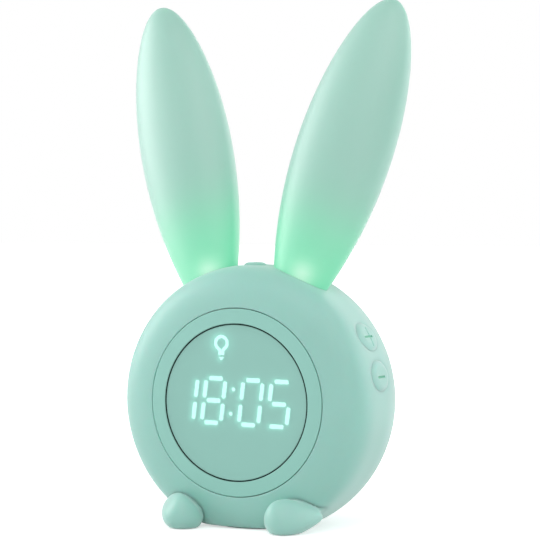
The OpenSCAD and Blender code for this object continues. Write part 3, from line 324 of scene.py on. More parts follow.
front_r, front_depth = quarter_curve(BODY_R, FACE_DEPTH, FACE_POWER)
back_r, back_depth = (v[::-1] for v in quarter_curve(BODY_R, BACK_DEPTH, BACK_POWER))
in_front, behind = front_r > SKIN_OPENING + LIP, back_r > PANEL_OPENING + LIP
face_edge, panel_edge = front_y(SKIN_OPENING + LIP), back_y(PANEL_OPENING + LIP)
section = np.array(
    [(SKIN_OPENING, face_edge + TURNED_IN)]
    + arc((SKIN_OPENING + LIP, face_edge + LIP), LIP, 180, 262)
    + list(zip(front_r[in_front], -front_depth[in_front]))
    + list(zip(back_r[behind][1:], back_depth[behind][1:]))
    + arc((PANEL_OPENING + LIP, panel_edge - LIP), LIP, 98, 180)
    + [(PANEL_OPENING, panel_edge - TURNED_IN)])
run = np.concatenate([[0], np.cumsum(np.hypot(*np.diff(section, axis=0).T))])
EDGE_RUN = 2.6                          # length of the section that an edge takes up
outer = (run > EDGE_RUN) & (run < run[-1] - EDGE_RUN)
tangent = np.gradient(section, run, axis=0)
tangent /= np.linalg.norm(tangent, axis=1)[:, None]
# How softly the body turns into its underside, in square millimetres, and how far down it is followed
UNDERSIDE_SOFTNESS, LOWEST = 0.25, -3.0


def on_skin(s, a, lift=0.0):
    """Points on the skin at a distance s along its section and an angle a from the top, lifted off it."""
    r, y = np.interp(s, run, section[:, 0]), np.interp(s, run, section[:, 1])
    tr, ty = np.interp(s, run, tangent[:, 0]), np.interp(s, run, tangent[:, 1])
    r, y = r + lift * ty, y - lift * tr
    points = np.stack([r * np.sin(a), y, AXIS_Z + r * np.cos(a)], axis=-1)
    # The round body turns softly into its flat underside
    over = np.maximum(points[:, 2] - UNDERSIDE, LOWEST)
    points[:, 2] = UNDERSIDE + 0.5 * (over + np.sqrt(over ** 2 + UNDERSIDE_SOFTNESS))
    return points


def button_spot(name, x, y):
    """Skin coordinates of a point given in millimetres on a button, x round the body and y along it."""
    angle, along, _, _ = BUTTONS[name]
    s = np.interp(along + y, section[outer, 1], run[outer])
    r = np.interp(s, run, section[:, 0])
    return s, math.radians(angle) + np.arcsin(x / r)


def inward(name):
    """The direction in which a button is pressed."""
    angle = math.radians(BUTTONS[name][0])
    return np.array([-math.sin(angle), 0, -math.cos(angle)])


def oval_line(name, grow, count):
    """Points of a button's outline grown by a distance, in millimetres on the button."""
    _, _, round_r, along_r = BUTTONS[name]
    t = np.linspace(0, 2 * math.pi, count, endpoint=False)
    n = np.stack([np.cos(t) / round_r, np.sin(t) / along_r])
    n /= np.linalg.norm(n, axis=0)
    return round_r * np.cos(t) + grow * n[0], along_r * np.sin(t) + grow * n[1]


EDGE_ROUND, EDGE_DROP = 1.5, 0.22       # how far from a hole its soft edge starts, and how deep it ends
HOLE_STEPS = (0, 0.05, 0.14, 0.28, 0.5, 0.8, 1.15, EDGE_ROUND)
GRID_GAP = 0.45                         # from a soft edge to the nearest point of the grid
HOLE_CLEAR = HOLE_GROWTH + EDGE_ROUND + GRID_GAP
HOLE_WALL = 2.2                         # depth of the walls of the holes
AROUND_HOLE = 84
ROWS, COLUMNS, EDGE_ROWS = 60, 211, 8
BUTTON_TURN = 0.5                       # radians from a button's middle, further than any hole reaches
SAME_POINT = 1e-6


def edge_drop(away, reach, drop):
    """How far a soft edge lies under the surface at a distance from its end, reach being where it starts."""
    x = np.clip(np.asarray(away) / reach, 0, 1)
    return -drop * (1 - x) ** 2


def clear_of_buttons(s, a):
    """Whether a grid point of the skin lies outside every button's hole and its soft edge."""
    if not run[outer][0] < s < run[outer][-1]:
        return True
    r, y = np.interp(s, run, section[:, 0]), np.interp(s, run, section[:, 1])
    for angle, along, round_r, along_r in BUTTONS.values():
        turn = a - math.radians(angle)
        if abs(turn) < BUTTON_TURN:
            round_share = r * math.sin(turn) / (round_r + HOLE_CLEAR)
            along_share = (y - along) / (along_r + HOLE_CLEAR)
            if round_share ** 2 + along_share ** 2 <= 1:
                return False
    return True


# The skin is laid out flat, as angle times radius by distance along the section, and cut into triangles there
flat, lift, hole_lines = [], [], []
for name in BUTTONS:
    for k, step in enumerate(HOLE_STEPS):
        s, a = button_spot(name, *oval_line(name, HOLE_GROWTH + step, AROUND_HOLE))
        first = len(flat)
        flat += list(zip(a * BODY_R, s))
        lift += [float(edge_drop(step, EDGE_ROUND, EDGE_DROP))] * AROUND_HOLE
        if k == 0:
            hole_lines += [(first + i, first + (i + 1) % AROUND_HOLE) for i in range(AROUND_HOLE)]
middle_rows = np.linspace(run[EDGE_ROWS - 1], run[-EDGE_ROWS], ROWS)
for s in np.unique(np.concatenate([run[:EDGE_ROWS], run[-EDGE_ROWS:], middle_rows])):
    for a in np.radians(np.linspace(-180, 180, COLUMNS)):
        if clear_of_buttons(s, a):
            flat.append((a * BODY_R, s))
            lift.append(0.0)
flat_points = [Vector(p) for p in flat]
corners, _, triangles, origins, _, _ = delaunay_2d_cdt(flat_points, hole_lines, [], 0, SAME_POINT)
corner_lift = np.array([lift[o[0]] if o else 0.0 for o in origins])
corner_flat = np.array([tuple(c) for c in corners])
points = on_skin(corner_flat[:, 1], corner_flat[:, 0] / BODY_R, corner_lift).tolist()
hole_of = {}
for k, name in enumerate(BUTTONS):
    start = k * len(HOLE_STEPS) * AROUND_HOLE
    hole_of.update({start + i: name for i in range(AROUND_HOLE)})
rim_of = {v: hole_of[o[0]] for v, o in enumerate(origins) if o and o[0] in hole_of}
faces = []
for triangle in triangles:
    names = {rim_of.get(v) for v in triangle}
    if len(names) > 1 or None in names:   # with all its corners on one rim, it would span that hole
        faces.append(tuple(triangle))
for name in BUTTONS:                      # walls of the holes
    s, a = button_spot(name, *oval_line(name, HOLE_GROWTH, AROUND_HOLE))
    rim = on_skin(s, a, -EDGE_DROP)
    faces += shifted(ring_faces(2, AROUND_HOLE), len(points))
    points += rim.tolist() + (rim + inward(name) * HOLE_WALL).tolist()
weld(piece("skin", points, faces, skin_silicone, "clock", "silicone_skin", crease=60))


# ---------------------------------------------------------------- buttons

MARK_STROKE, MARK_DEPTH, MARK_WALL = 0.36, 0.4, 0.25   # half width, depth and slope of a sign's grooves
ROUND_STROKE = 0.6                      # a bar that runs round the body is this much narrower
# Each bar of a sign: its middle, half its length, whether it runs round the body, and how much painted shade
# (a deeper green) its groove gets
MARKS = {"plus_button": [((0.4, -0.8), 3.3, False, 1.0), ((0.4, 0.3), 3.7, True, 0.5)],
         "minus_button": [((0.5, -0.9), 2.9, False, 1.0)]}
CAP_ROUND, CAP_RISE, CAP_WALL = 2.6, 0.8, 2.6          # width of a cap's rounded rim, its rise and its wall
TOP_ROUND, TOP_DISH, TOP_RIM = 2.0, 0.3, 0.75          # the top cap's rim, its dish and where the dish starts
CAP_MIDDLE, RIM_CROWDING = 0.004, 0.85                 # the innermost ring, and finer steps near the rim


def sign_groove(name, x, y):
    """How deep the sign on a button is at a point, and how much painted shade its groove gets."""
    depth, green = np.zeros_like(x), np.zeros_like(x)
    for (cx, cy), half, runs_round, tint in MARKS.get(name, ()):
        over, along = np.abs(x - cx), np.abs(y - cy)
        stroke = MARK_STROKE
        if runs_round:
            over, along = along, over
            stroke = MARK_STROKE * ROUND_STROKE
        share = np.clip(-np.maximum(over - stroke, along - half) / MARK_WALL + 0.5, 0, 1)
        depth = np.maximum(depth, share * MARK_DEPTH)
        green = np.maximum(green, share * tint)
    return depth, green


def button_cap(name, rings=64, around=192):
    """A soft domed cap with rounded rim, its sign pressed in, and its wall going down into the hole."""
    _, _, round_r, along_r = BUTTONS[name]
    rim_x, rim_y = oval_line(name, CAP_GROWTH, around)
    points, groove_shade_levels = [], [0.0] * around
    for k in range(rings + 1):
        share = max(CAP_MIDDLE, 1 - (k / rings) ** RIM_CROWDING)
        x, y = rim_x * share, rim_y * share
        from_rim = (1 - share) * min(round_r, along_r)
        if name == "top_button":
            dish = TOP_DISH * (1 - min(1, share / TOP_RIM)) ** 1.5
            height = TOP_BUTTON_RISE - dish + edge_drop(from_rim, TOP_ROUND, EDGE_DROP + TOP_BUTTON_RISE)
        else:
            height = CAP_RISE + edge_drop(from_rim, CAP_ROUND, EDGE_DROP + CAP_RISE)
        depth, green = sign_groove(name, x, y)
        groove_shade_levels += green.tolist()
        points += on_skin(*button_spot(name, x, y), height - depth).tolist()
    wall_foot = np.array(points[:around]) + inward(name) * CAP_WALL
    faces = ring_faces(rings + 2, around, closed_ends=True)
    cap = piece(name.replace("_button", "_cap"), wall_foot.tolist() + points, faces, cap_silicone_with_painted_shade, name,
                name, crease=50)
    # Each point's share of the painted groove shade, which the caps' material reads
    point_values(cap, "groove_shade", groove_shade_levels)
    weld(cap)


for name in BUTTONS:
    button_cap(name)


# ---------------------------------------------------------------- face

BEZEL_GAP, BEZEL_EDGE = 0.05, 0.3       # from the gasket to the bezel, and the radius of the bezel's edges
BEZEL_SEAT, BEZEL_SINK = 1.6, 2.2       # how far the bezel's inner and outer walls go down
BEZEL_FOOT_IN, BEZEL_FOOT_OUT = 2.0, 4.0
GASKET_SINK = 1.4
bezel_in = GASKET_R + GASKET_LINE + BEZEL_GAP
bezel_face = [(r, front_y(r)) for r in np.linspace(bezel_in + BEZEL_EDGE, BEZEL_R - BEZEL_EDGE, 14)]
bezel_section = (
    [(bezel_in - BEZEL_FOOT_IN, LENS_FRONT + BEZEL_SEAT), (bezel_in, LENS_FRONT + BEZEL_SEAT)]
    + arc((bezel_in + BEZEL_EDGE, front_y(bezel_in) + BEZEL_EDGE), BEZEL_EDGE, 180, 268)
    + bezel_face
    + arc((BEZEL_R - BEZEL_EDGE, front_y(BEZEL_R - BEZEL_EDGE) + BEZEL_EDGE), BEZEL_EDGE, 275, 360)
    + [(BEZEL_R, front_y(BEZEL_R) + BEZEL_SINK), (BEZEL_R - BEZEL_FOOT_OUT, front_y(BEZEL_R) + BEZEL_SINK)])
piece("bezel_ring", turned(bezel_section), ring_faces(len(bezel_section), AROUND_BODY), bezel_abs, "clock",
      "face_bezel", crease=50)
gasket_section = (
    [(GASKET_R, LENS_FRONT + GASKET_SINK)]
    + arc((GASKET_R + GASKET_LINE / 2, LENS_FRONT), GASKET_LINE / 2, 180, 360, 8)
    + [(GASKET_R + GASKET_LINE, LENS_FRONT + GASKET_SINK)])
piece("gasket_line", turned(gasket_section), ring_faces(len(gasket_section), AROUND_BODY), gasket_rubber,
      "clock", "lens_gasket", crease=60)

# The row of digits: its middle, its turn and the slant of its upright bars
ROW, ROW_TURN, SLANT = np.array([-1.95, 0.3]), math.radians(-1.1), math.tan(math.radians(6))
BAR_W, DIGIT_H = 1.7, 16.3
ROW_MARGIN, DIGIT_GAP, COLON_GAP, COLON_SPREAD = 4.7, 1.85, 5.55, 0.275
DIGIT_OUTER = (2 * (LENS_R - ROW_MARGIN) - 2 * DIGIT_GAP - COLON_GAP) / 4
DIGIT_W = DIGIT_OUTER - BAR_W
LEVEL_END, UPRIGHT_END = BAR_W / 2, 0.7     # left free for the chiselled ends
LEVEL_HALF, UPRIGHT_HALF = (DIGIT_W - BAR_W) / 2 - LEVEL_END, (DIGIT_H / 2 - BAR_W) / 2 - UPRIGHT_END
INNER_X = (DIGIT_OUTER + COLON_GAP) / 2
OUTER_X = INNER_X + DIGIT_OUTER + DIGIT_GAP
# The bars that are lit in each digit, by letter, and where each letter's bar is in its digit
SHOWN = ((-OUTER_X, "bc"), (-INNER_X, "abcdefg"), (INNER_X, "abcdef"), (OUTER_X, "acdfg"))
BARS = {"a": (0, 1), "b": (1, 0.5), "c": (1, -0.5), "d": (0, -1), "e": (-1, -0.5), "f": (-1, 0.5),
        "g": (0, 0)}
# Half width of a bar, its shoulders and its tip: how far past the bar's end and how wide
BAR_HALF, SHOULDER, TIP = 0.83, (0.35, 0.7138), (0.6, 0.3)
DOT_R = 0.75
PIPE_FRONT, PIPE_BACK = -20.33, -18.5
LAMP = np.array([-6.3, 21.55])
# The bulb's outer and inner outline: radius of the glass, half width of the neck, its top and its end
GLASS_OUT, GLASS_IN = (2.98, 1.25, 2.85, 4.4), (1.75, 0.2, 2.2, 2.5)
CAP_HALF, CAP_TIP, CAP_TOP, CAP_END = 1.15, 0.35, 5.05, 6.15


def on_row(x, z):
    """A point of the row of digits, from its middle, slanted and turned with the row."""
    x = x + z * SLANT
    return ROW + (x * math.cos(ROW_TURN) - z * math.sin(ROW_TURN),
                  x * math.sin(ROW_TURN) + z * math.cos(ROW_TURN))


def slab(outlines):
    """Points and faces of flat plates with the outlines given, from the light pipes' back to their front."""
    points, faces = [], []
    for outline in outlines:
        faces += shifted(ring_faces(2, len(outline), closed_ends=True), len(points))
        points += [(x, y, AXIS_Z + z) for y in (PIPE_BACK, PIPE_FRONT) for x, z in outline]
    return points, faces


def bar_outline(a, b):
    """A bar from a to b with chiselled ends."""
    along = (b - a) / np.linalg.norm(b - a)
    over = np.array([-along[1], along[0]])
    end = [(0.0, BAR_HALF), SHOULDER, TIP]
    end += [(past, -out) for past, out in reversed(end)]
    return [b + along * past + over * out for past, out in end] \
        + [a - along * past - over * out for past, out in end]


def bulb_outline(r, neck, top, end):
    """A lamp bulb's outline: the round glass, then the neck, down one side and up the other."""
    side = arc((0, 0), r, 88, -36, 40) + [(neck, -top), (neck, -end)]
    return [LAMP + spot for spot in side + [(-x, z) for x, z in reversed(side)]]


strokes = []
for digit_x, letters in SHOWN:
    for letter in letters:
        x, z = digit_x + BARS[letter][0] * DIGIT_W / 2, BARS[letter][1] * DIGIT_H / 2
        dx, dz = (LEVEL_HALF, 0) if letter in "adg" else (0, UPRIGHT_HALF)
        strokes.append((on_row(x - dx, z - dz), on_row(x + dx, z + dz)))
dots = [on_row(0, side * DIGIT_H * COLON_SPREAD) for side in (-1, 1)]
bars = [bar_outline(a, b) for a, b in strokes]
points, faces = slab(bars + [arc(dot, DOT_R, 0, 345, 24) for dot in dots])
weld(piece("lit_bars", points, faces, lit_acrylic, "clock", "lit_segments", crease=30))

# The bulb's plate is a closed band of four lines: its outer outline at the back and front, then its inner one
band = ((GLASS_OUT, PIPE_BACK), (GLASS_OUT, PIPE_FRONT), (GLASS_IN, PIPE_FRONT), (GLASS_IN, PIPE_BACK))
points = [(x, y, AXIS_Z + z) for glass, y in band for x, z in bulb_outline(*glass)]
around = len(points) // 4
faces = ring_faces(4, around)
for i in range(around):
    n = (i + 1) % around
    faces.append((3 * around + i, 3 * around + n, n, i))
screw_cap = ((-CAP_HALF, -CAP_TOP), (-CAP_TIP, -CAP_END), (CAP_TIP, -CAP_END), (CAP_HALF, -CAP_TOP))
cap_points, cap_faces = slab([[LAMP + spot for spot in screw_cap]])
faces += shifted(cap_faces, len(points))
weld(piece("lamp_mark", points + cap_points, faces, lit_acrylic, "clock", "lamp_sign",
           crease=30))

# What throws a halo in the lens: the bars, the dots, and short lines round the glass and down the neck
GLASS_MID, GLASS_TURN, NECK_MID, CAP_MID, DOT_LINE = 2.5, 20.05, 4.2, 5.6, (0.01, 0)
glass_lines = [arc(LAMP, GLASS_MID, start, start + GLASS_TURN, 2) for start in np.arange(-60, 240, 20)]
dot_lines = [(dot, dot + DOT_LINE) for dot in dots]
shining = np.array(strokes + dot_lines + glass_lines + [(LAMP - (0, NECK_MID), LAMP - (0, CAP_MID))])
NEAR_START, NEAR_REACH, NEAR_SHARE = 0.55, 1.0, 0.62   # the narrow part of the halo
WIDE_LEVEL, WIDE_REACH = 0.28, 3.2                     # the wide part


def halo(x, z):
    """Light that spreads in the lens round what shines behind it, from 0 to 1."""
    p = np.stack([x, z], axis=-1)[:, None, :]
    a, b = shining[None, :, 0], shining[None, :, 1]
    t = np.clip(((p - a) * (b - a)).sum(-1) / ((b - a) ** 2).sum(-1), 0, 1)
    d = np.linalg.norm(p - a - t[..., None] * (b - a), axis=-1)
    near = np.exp(-(np.maximum(d.min(axis=1) - NEAR_START, 0) / NEAR_REACH) ** 2)
    wide = 1 - np.prod(1 - WIDE_LEVEL * np.exp(-(d / WIDE_REACH) ** 2), axis=1)
    return NEAR_SHARE * near + (1 - NEAR_SHARE) * wide


LENS_HALO, LENS_SOLID = 0.26, 0.8       # strength of the halo, and how much the tint covers


def lens_acrylic():
    """Tinted, lightly frosted acrylic: the lit bars behind it show through and spread in it."""
    material, tree = blank("frosted_mint_acrylic")
    place = add(tree, "ShaderNodeTexCoord")
    grain = add(tree, "ShaderNodeTexNoise", None,
                {"Vector": place.outputs["Object"], "Scale": per_mm(0.5), "Detail": 2.0})
    bump = add(tree, "ShaderNodeBump", None,
               {"Height": grain.outputs["Fac"], "Strength": 1.0, "Distance": 0.003 * MM})
    spread = add(tree, "ShaderNodeAttribute", {"attribute_name": "halo"})
    level = add(tree, "ShaderNodeMath", {"operation": "MULTIPLY"}, {0: spread.outputs["Fac"], 1: LENS_HALO})
    # Its tint counts once, at the face where the light goes in
    side = add(tree, "ShaderNodeNewGeometry")
    solid = add(tree, "ShaderNodeMath", {"operation": "MULTIPLY_ADD"},
                {0: side.outputs["Backfacing"], 1: -LENS_SOLID, 2: LENS_SOLID})
    surface = add(tree, "ShaderNodeBsdfPrincipled", None,
                  {"Base Color": linear("#a1d5ca"), "Roughness": 0.42, "IOR": 1.49,
                   "Specular IOR Level": 0.35, "Normal": bump.outputs["Normal"],
                   "Alpha": solid.outputs["Value"],
                   "Emission Color": linear("#8ff5dc"), "Emission Strength": level.outputs["Value"]})
    add(tree, "ShaderNodeOutputMaterial", None, {"Surface": surface.outputs["BSDF"]})
    return material


LENS_CENTRE, LENS_STEP, LENS_EDGE, LENS_RIM = 0.02, 0.35, 0.2, 0.3
LENS_AROUND = 420                       # fine, so that the halo is smooth between its points
lens_section = (
    [(r, LENS_FRONT) for r in (LENS_CENTRE, *np.arange(LENS_STEP, LENS_R - LENS_RIM, LENS_STEP))]
    + arc((LENS_R - LENS_EDGE, LENS_FRONT + LENS_EDGE), LENS_EDGE, 270, 360, 5)
    + [(LENS_R, LENS_FRONT + LENS_THICKNESS), (LENS_CENTRE, LENS_FRONT + LENS_THICKNESS)])
points = turned(lens_section, LENS_AROUND)
faces = ring_faces(len(lens_section), LENS_AROUND, closed_ends=True)
frosted_acrylic = lens_acrylic()
lens = piece("lens_window", points, faces, frosted_acrylic, "clock", "display_lens", crease=50)
x, y, z = np.array(points).T
point_values(lens, "halo", np.where(y < LENS_FRONT + LENS_RIM, halo(x, z - AXIS_Z), 0))
weld(lens)
lens.visible_shadow = False               # its tint is in its colour, so it doesn't shade the mask behind it


# ---------------------------------------------------------------- ears

EAR_GLOW, EMBER_GLOW = 0.24, 0.2
# How much of the glow is left at a share of the ear's length, and where it ends
GLOW_FADE = ((0.07, 0.95), (0.14, 0.78), (0.21, 0.48), (0.28, 0.19), (0.36, 0.05))
GLOW_END = 0.5
# Where each ear's lamp shines straight through the wall, and how wide
EMBERS, EMBER_R = ((22.0, -11.8, 93.6), (-16.0, -11.7, 94.0)), 5.0
EAR_END = 0.9985                        # share of the rings' run at which the tip is closed


def lit_silicone():
    """Milky silicone rubber, glossier than the body's and lit from inside at its root."""
    material, tree = blank("milky_lit_silicone")
    where = add(tree, "ShaderNodeUVMap", {"uv_map": "blade"})
    split = add(tree, "ShaderNodeSeparateXYZ", None, {"Vector": where.outputs["UV"]})
    fade = add(tree, "ShaderNodeValToRGB", None, {"Fac": split.outputs["Y"]})
    fade.color_ramp.interpolation = "B_SPLINE"
    root, end = fade.color_ramp.elements
    root.color = (1, 1, 1, 1)
    end.position = GLOW_END
    end.color = (0, 0, 0, 1)
    for at, level in GLOW_FADE:
        fade.color_ramp.elements.new(at).color = (level, level, level, 1)
    strength = add(tree, "ShaderNodeMath", {"operation": "MULTIPLY"}, {0: fade.outputs["Color"], 1: EAR_GLOW})
    # At the embers the glow is stronger and whiter
    ember = add(tree, "ShaderNodeAttribute", {"attribute_name": "ember"})
    glow = add(tree, "ShaderNodeMath", {"operation": "MULTIPLY_ADD"},
               {0: ember.outputs["Fac"], 1: EMBER_GLOW, 2: strength.outputs["Value"]})
    tone = add(tree, "ShaderNodeMix", {"data_type": "RGBA"},
               {"Factor": ember.outputs["Fac"], "A": linear("#40ffb0"), "B": linear("#e4ffe8")})
    # Painted glow: the base colour turns a deeper green as far up as the glow reaches, standing in for the
    # lamp's light in the rubber
    painted_glow_colour = add(tree, "ShaderNodeMix", {"data_type": "RGBA"},
                    {"Factor": fade.outputs["Color"], "A": linear("#98cabb"), "B": linear("#78c2a3")})
    place = add(tree, "ShaderNodeTexCoord")
    grain = add(tree, "ShaderNodeTexNoise", None,
                {"Vector": place.outputs["Object"], "Scale": per_mm(0.6), "Detail": 2.0})
    bump = add(tree, "ShaderNodeBump", None,
               {"Height": grain.outputs["Fac"], "Strength": 1.0, "Distance": 0.006 * MM})
    surface = add(tree, "ShaderNodeBsdfPrincipled", None,
                  {"Base Color": painted_glow_colour.outputs["Result"], "Roughness": 0.5, "IOR": 1.45,
                   "Normal": bump.outputs["Normal"],
                   "Specular IOR Level": 0.9, "Coat Weight": 0.9, "Coat Roughness": 0.45,
                   "Sheen Weight": 0.55, "Sheen Roughness": 0.3, "Subsurface Weight": 0.6,
                   "Subsurface Radius": (0.006, 0.009, 0.008), "Subsurface Scale": 0.6,
                   "Emission Color": tone.outputs["Result"], "Emission Strength": glow.outputs["Value"]})
    add(tree, "ShaderNodeOutputMaterial", None, {"Surface": surface.outputs["BSDF"]})
    return material


ear_silicone = lit_silicone()


def ear_half_width(h):
    """Half the ear's width at a height above its root."""
    t = h / EAR_LENGTH
    return EAR_ROOT_WIDTH / 2 * (1 + EAR_SWELL * t - EAR_TAPER * t * t) * math.sqrt(max(0, 1 - t))


def ear_half_depth(h):
    """Half the ear's depth, fuller at its root."""
    return ear_half_width(h) * (EAR_SLIMNESS + EAR_ROOT_GAIN * (1 - h / EAR_LENGTH) ** 2)


def ear(side, name, node, rings=90, around=96):
    """A blade of oval rings, closer together towards its tip."""
    lean = (Matrix.Rotation(math.radians(EAR_LEAN_OUT), 4, "Y")
            @ Matrix.Rotation(-math.radians(EAR_LEAN_BACK), 4, "X"))
    out = (EAR_ROOT_WIDTH + EAR_GAP) / 2
    root = Vector((out, EAR_Y, AXIS_Z + math.sqrt(BODY_R ** 2 - out ** 2)))
    points, blade = [], []
    for k in range(rings + 1):
        u = min(EAR_END, k / rings)
        h = -EAR_SUNK + (EAR_LENGTH + EAR_SUNK) * (1 - (1 - u) ** 2)
        for i in range(around):
            t = 2 * math.pi * i / around
            p = root + lean @ Vector((ear_half_width(h) * math.cos(t), ear_half_depth(h) * math.sin(t), h))
            points.append((side * p.x, p.y, p.z))
            blade.append((i / around, max(0, h) / EAR_LENGTH))
    faces = ring_faces(rings + 1, around, closed_ends=True)
    if side < 0:
        faces = [tuple(reversed(f)) for f in faces]
    obj = piece(name, points, faces, ear_silicone, "clock", node, crease=60)
    layer = obj.data.uv_layers.new(name="blade")
    for loop in obj.data.loops:
        layer.data[loop.index].uv = blade[loop.vertex_index]
    far = np.min([np.linalg.norm(np.array(points) - spot, axis=1) for spot in EMBERS], axis=0)
    point_values(obj, "ember", np.exp(-(far / EMBER_R) ** 2))


ear(1, "right_blade", "right_ear")
ear(-1, "left_blade", "left_ear")


# ---------------------------------------------------------------- feet

FOOT_BLEND, SOLE_ROUND = 2.6, 0.9       # reach of the fillet to the body, and rounding of the sole's edge
PROBE = 0.05                            # step for measuring a slope
LEAST_WIDTH, LEAST_GIRTH = 0.2, 0.3     # shares that keep the egg's formula sound far from it
OFF_SKIN, UNDER_SKIN = 0.02, 0.3        # how far the fillet ends over the skin, and the foot's edge under it


def distance(level, p):
    """Roughly how far points are from where a level is 0, negative inside: the level over its slope."""
    base = level(p)
    slope = np.stack([(level(p + PROBE * axis) - base) / PROBE for axis in np.eye(3)], axis=1)
    return base / np.linalg.norm(slope, axis=1)


def body_distance(p):
    """Roughly the distance in millimetres from the skin, negative inside it."""
    def level(q):
        r = np.hypot(q[:, 0], q[:, 2] - AXIS_Z) / BODY_R
        front = q[:, 1] < 0
        power = np.where(front, FACE_POWER, BACK_POWER)
        depth = np.where(front, FACE_DEPTH, BACK_DEPTH)
        return (r ** power + (np.abs(q[:, 1]) / depth) ** power) ** (1 / power) - 1
    return np.maximum(distance(level, p), UNDERSIDE - p[:, 2])


def foot_axes(side):
    """A foot's middle, and its directions along towards the tail and across."""
    turn = math.radians(FOOT_TURN)
    along = np.array([side * math.sin(turn), math.cos(turn), 0])
    across = np.array([side * math.cos(turn), -math.sin(turn), 0])
    return np.array([side * FOOT_AT[0], FOOT_AT[1], FOOT_AT[2]]), along, across


def egg_distance(p, side):
    """Roughly the distance from a foot's egg, negative inside it. It bulges low down and leans outwards."""
    centre, along, across = foot_axes(side)

    def level(q):
        d = q - centre
        u, h = d @ along / FOOT_LONG, d[:, 2] / FOOT_HIGH
        width = FOOT_WIDE * np.maximum(LEAST_WIDTH, 1 - FOOT_SAG * h)
        girth = np.hypot(h, (d @ across - FOOT_LEAN * d[:, 2]) / width)
        return np.hypot(u, girth / np.maximum(LEAST_GIRTH, 1 - FOOT_TAPER * u)) - 1
    return distance(level, p)


def rounding(a, b, reach):
    """How much a fillet fills in where two distances are nearly the same."""
    h = np.maximum(reach - np.abs(a - b), 0) / reach
    return h * h * reach / 4


def foot(side, name, node, rings=150, around=220):
    """A foot's egg with a flat sole and a soft fillet to the body, found along rays from its middle."""
    centre, along, across = foot_axes(side)
    up = np.array([0, 0, 1])
    tilts = np.radians(np.linspace(0.5, 179.5, rings))
    spins = np.radians(np.linspace(0, 360, around, endpoint=False))
    rays = np.array([math.sin(t) * (math.cos(s) * across + math.sin(s) * up) - math.cos(t) * along
                     for t in tilts for s in spins])

    def form(p):
        egg, body, sole = egg_distance(p, side), body_distance(p) - OFF_SKIN, -p[:, 2]
        joined = np.minimum(egg, body) - rounding(egg, body, FOOT_BLEND)
        return np.maximum(joined, sole) + rounding(joined, sole, SOLE_ROUND)

    # Out from the middle in steps until each ray leaves the form, then nearer and nearer to its surface
    start, stop, stride = 2.0, 19.0, 0.4
    reach = np.full(len(rays), start)
    found = np.zeros(len(rays), bool)
    for _ in np.arange(start, stop, stride):
        found |= form(centre + rays * (reach + stride)[:, None]) > 0
        reach = np.where(found, reach, reach + stride)
    low, high = reach.copy(), reach + stride
    for _ in range(14):
        middle = (low + high) / 2
        out = form(centre + rays * middle[:, None]) > 0
        high, low = np.where(out, middle, high), np.where(out, low, middle)
    points = centre + rays * ((low + high) / 2)[:, None]
    # The foot's own part of the surface ends just inside the skin
    own = found & (body_distance(points) > -UNDER_SKIN) & (egg_distance(points, side) < FOOT_BLEND)
    faces = [f for f in ring_faces(rings, around, closed_ends=True) if own[list(f)].all()]
    used = sorted({v for f in faces for v in f})
    index = {v: i for i, v in enumerate(used)}
    faces = [tuple(index[v] for v in f) for f in faces]
    points = points[used]
    points[:, 2] = np.maximum(points[:, 2], 0.0)
    weld(piece(name, points, faces, lightened_foot_silicone, "clock", node, crease=75))


foot(1, "right_foot_form", "right_foot")
foot(-1, "left_foot_form", "left_foot")


# ---------------------------------------------------------------- finishes of the solids

FINISHES = (
    (panel_abs, ("rear_shell",)),
    (shell_abs, ("front_shell",)),
    (pad_silicone, ("base_pad",)),
    (mask_abs, ("segment_mask",)),
    (unlit_acrylic, ("unlit_segments",)),
    (board_resist, ("display_board", "main_board", "usb_board", "left_ear_board", "right_ear_board")),
    (led_resin, ("segment_leds", "ear_leds")),
    (black_resin, ("board_chips", "board_header", "tactile_switches", "speaker")),
    (white_nylon, ("lead_connectors", "battery_cradle", "left_ear_collar", "right_ear_collar")),
    (screw_steel, ("shell_screws", "display_screws", "board_screws", "foot_screws", "collar_screws")),
    (socket_steel, ("usb_socket",)),
    (battery_foil, ("battery_cell",)),
    (gasket_foam, ("speaker_gasket",)),
    (lead_pvc, ("battery_lead", "speaker_lead", "usb_lead", "left_ear_lead", "right_ear_lead")),
    # Solids that a piece above stands for, with the same finish
    (skin_silicone, ("silicone_skin", *BUTTONS)),
    (lightened_foot_silicone, ("left_foot", "right_foot")),
    (ear_silicone, ("left_ear", "right_ear")),
    (bezel_abs, ("face_bezel",)),
    (gasket_rubber, ("lens_gasket",)),
    (frosted_acrylic, ("display_lens",)),
    (lit_acrylic, ("lit_segments", "lamp_sign")),
)
for material, names in FINISHES:
    for name in names:
        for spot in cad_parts[name].material_slots:
            spot.material = material


# ---------------------------------------------------------------- floor, light and camera

def sees_background(tree):
    """1 for rays that show the background: from the camera, off a gloss or through a clear piece."""
    path = add(tree, "ShaderNodeLightPath")
    seen = add(tree, "ShaderNodeMath", {"operation": "MAXIMUM"},
               {0: path.outputs["Is Camera Ray"], 1: path.outputs["Is Glossy Ray"]})
    seen = add(tree, "ShaderNodeMath", {"operation": "MAXIMUM"},
               {0: seen.outputs["Value"], 1: path.outputs["Is Transmission Ray"]})
    return seen.outputs["Value"]


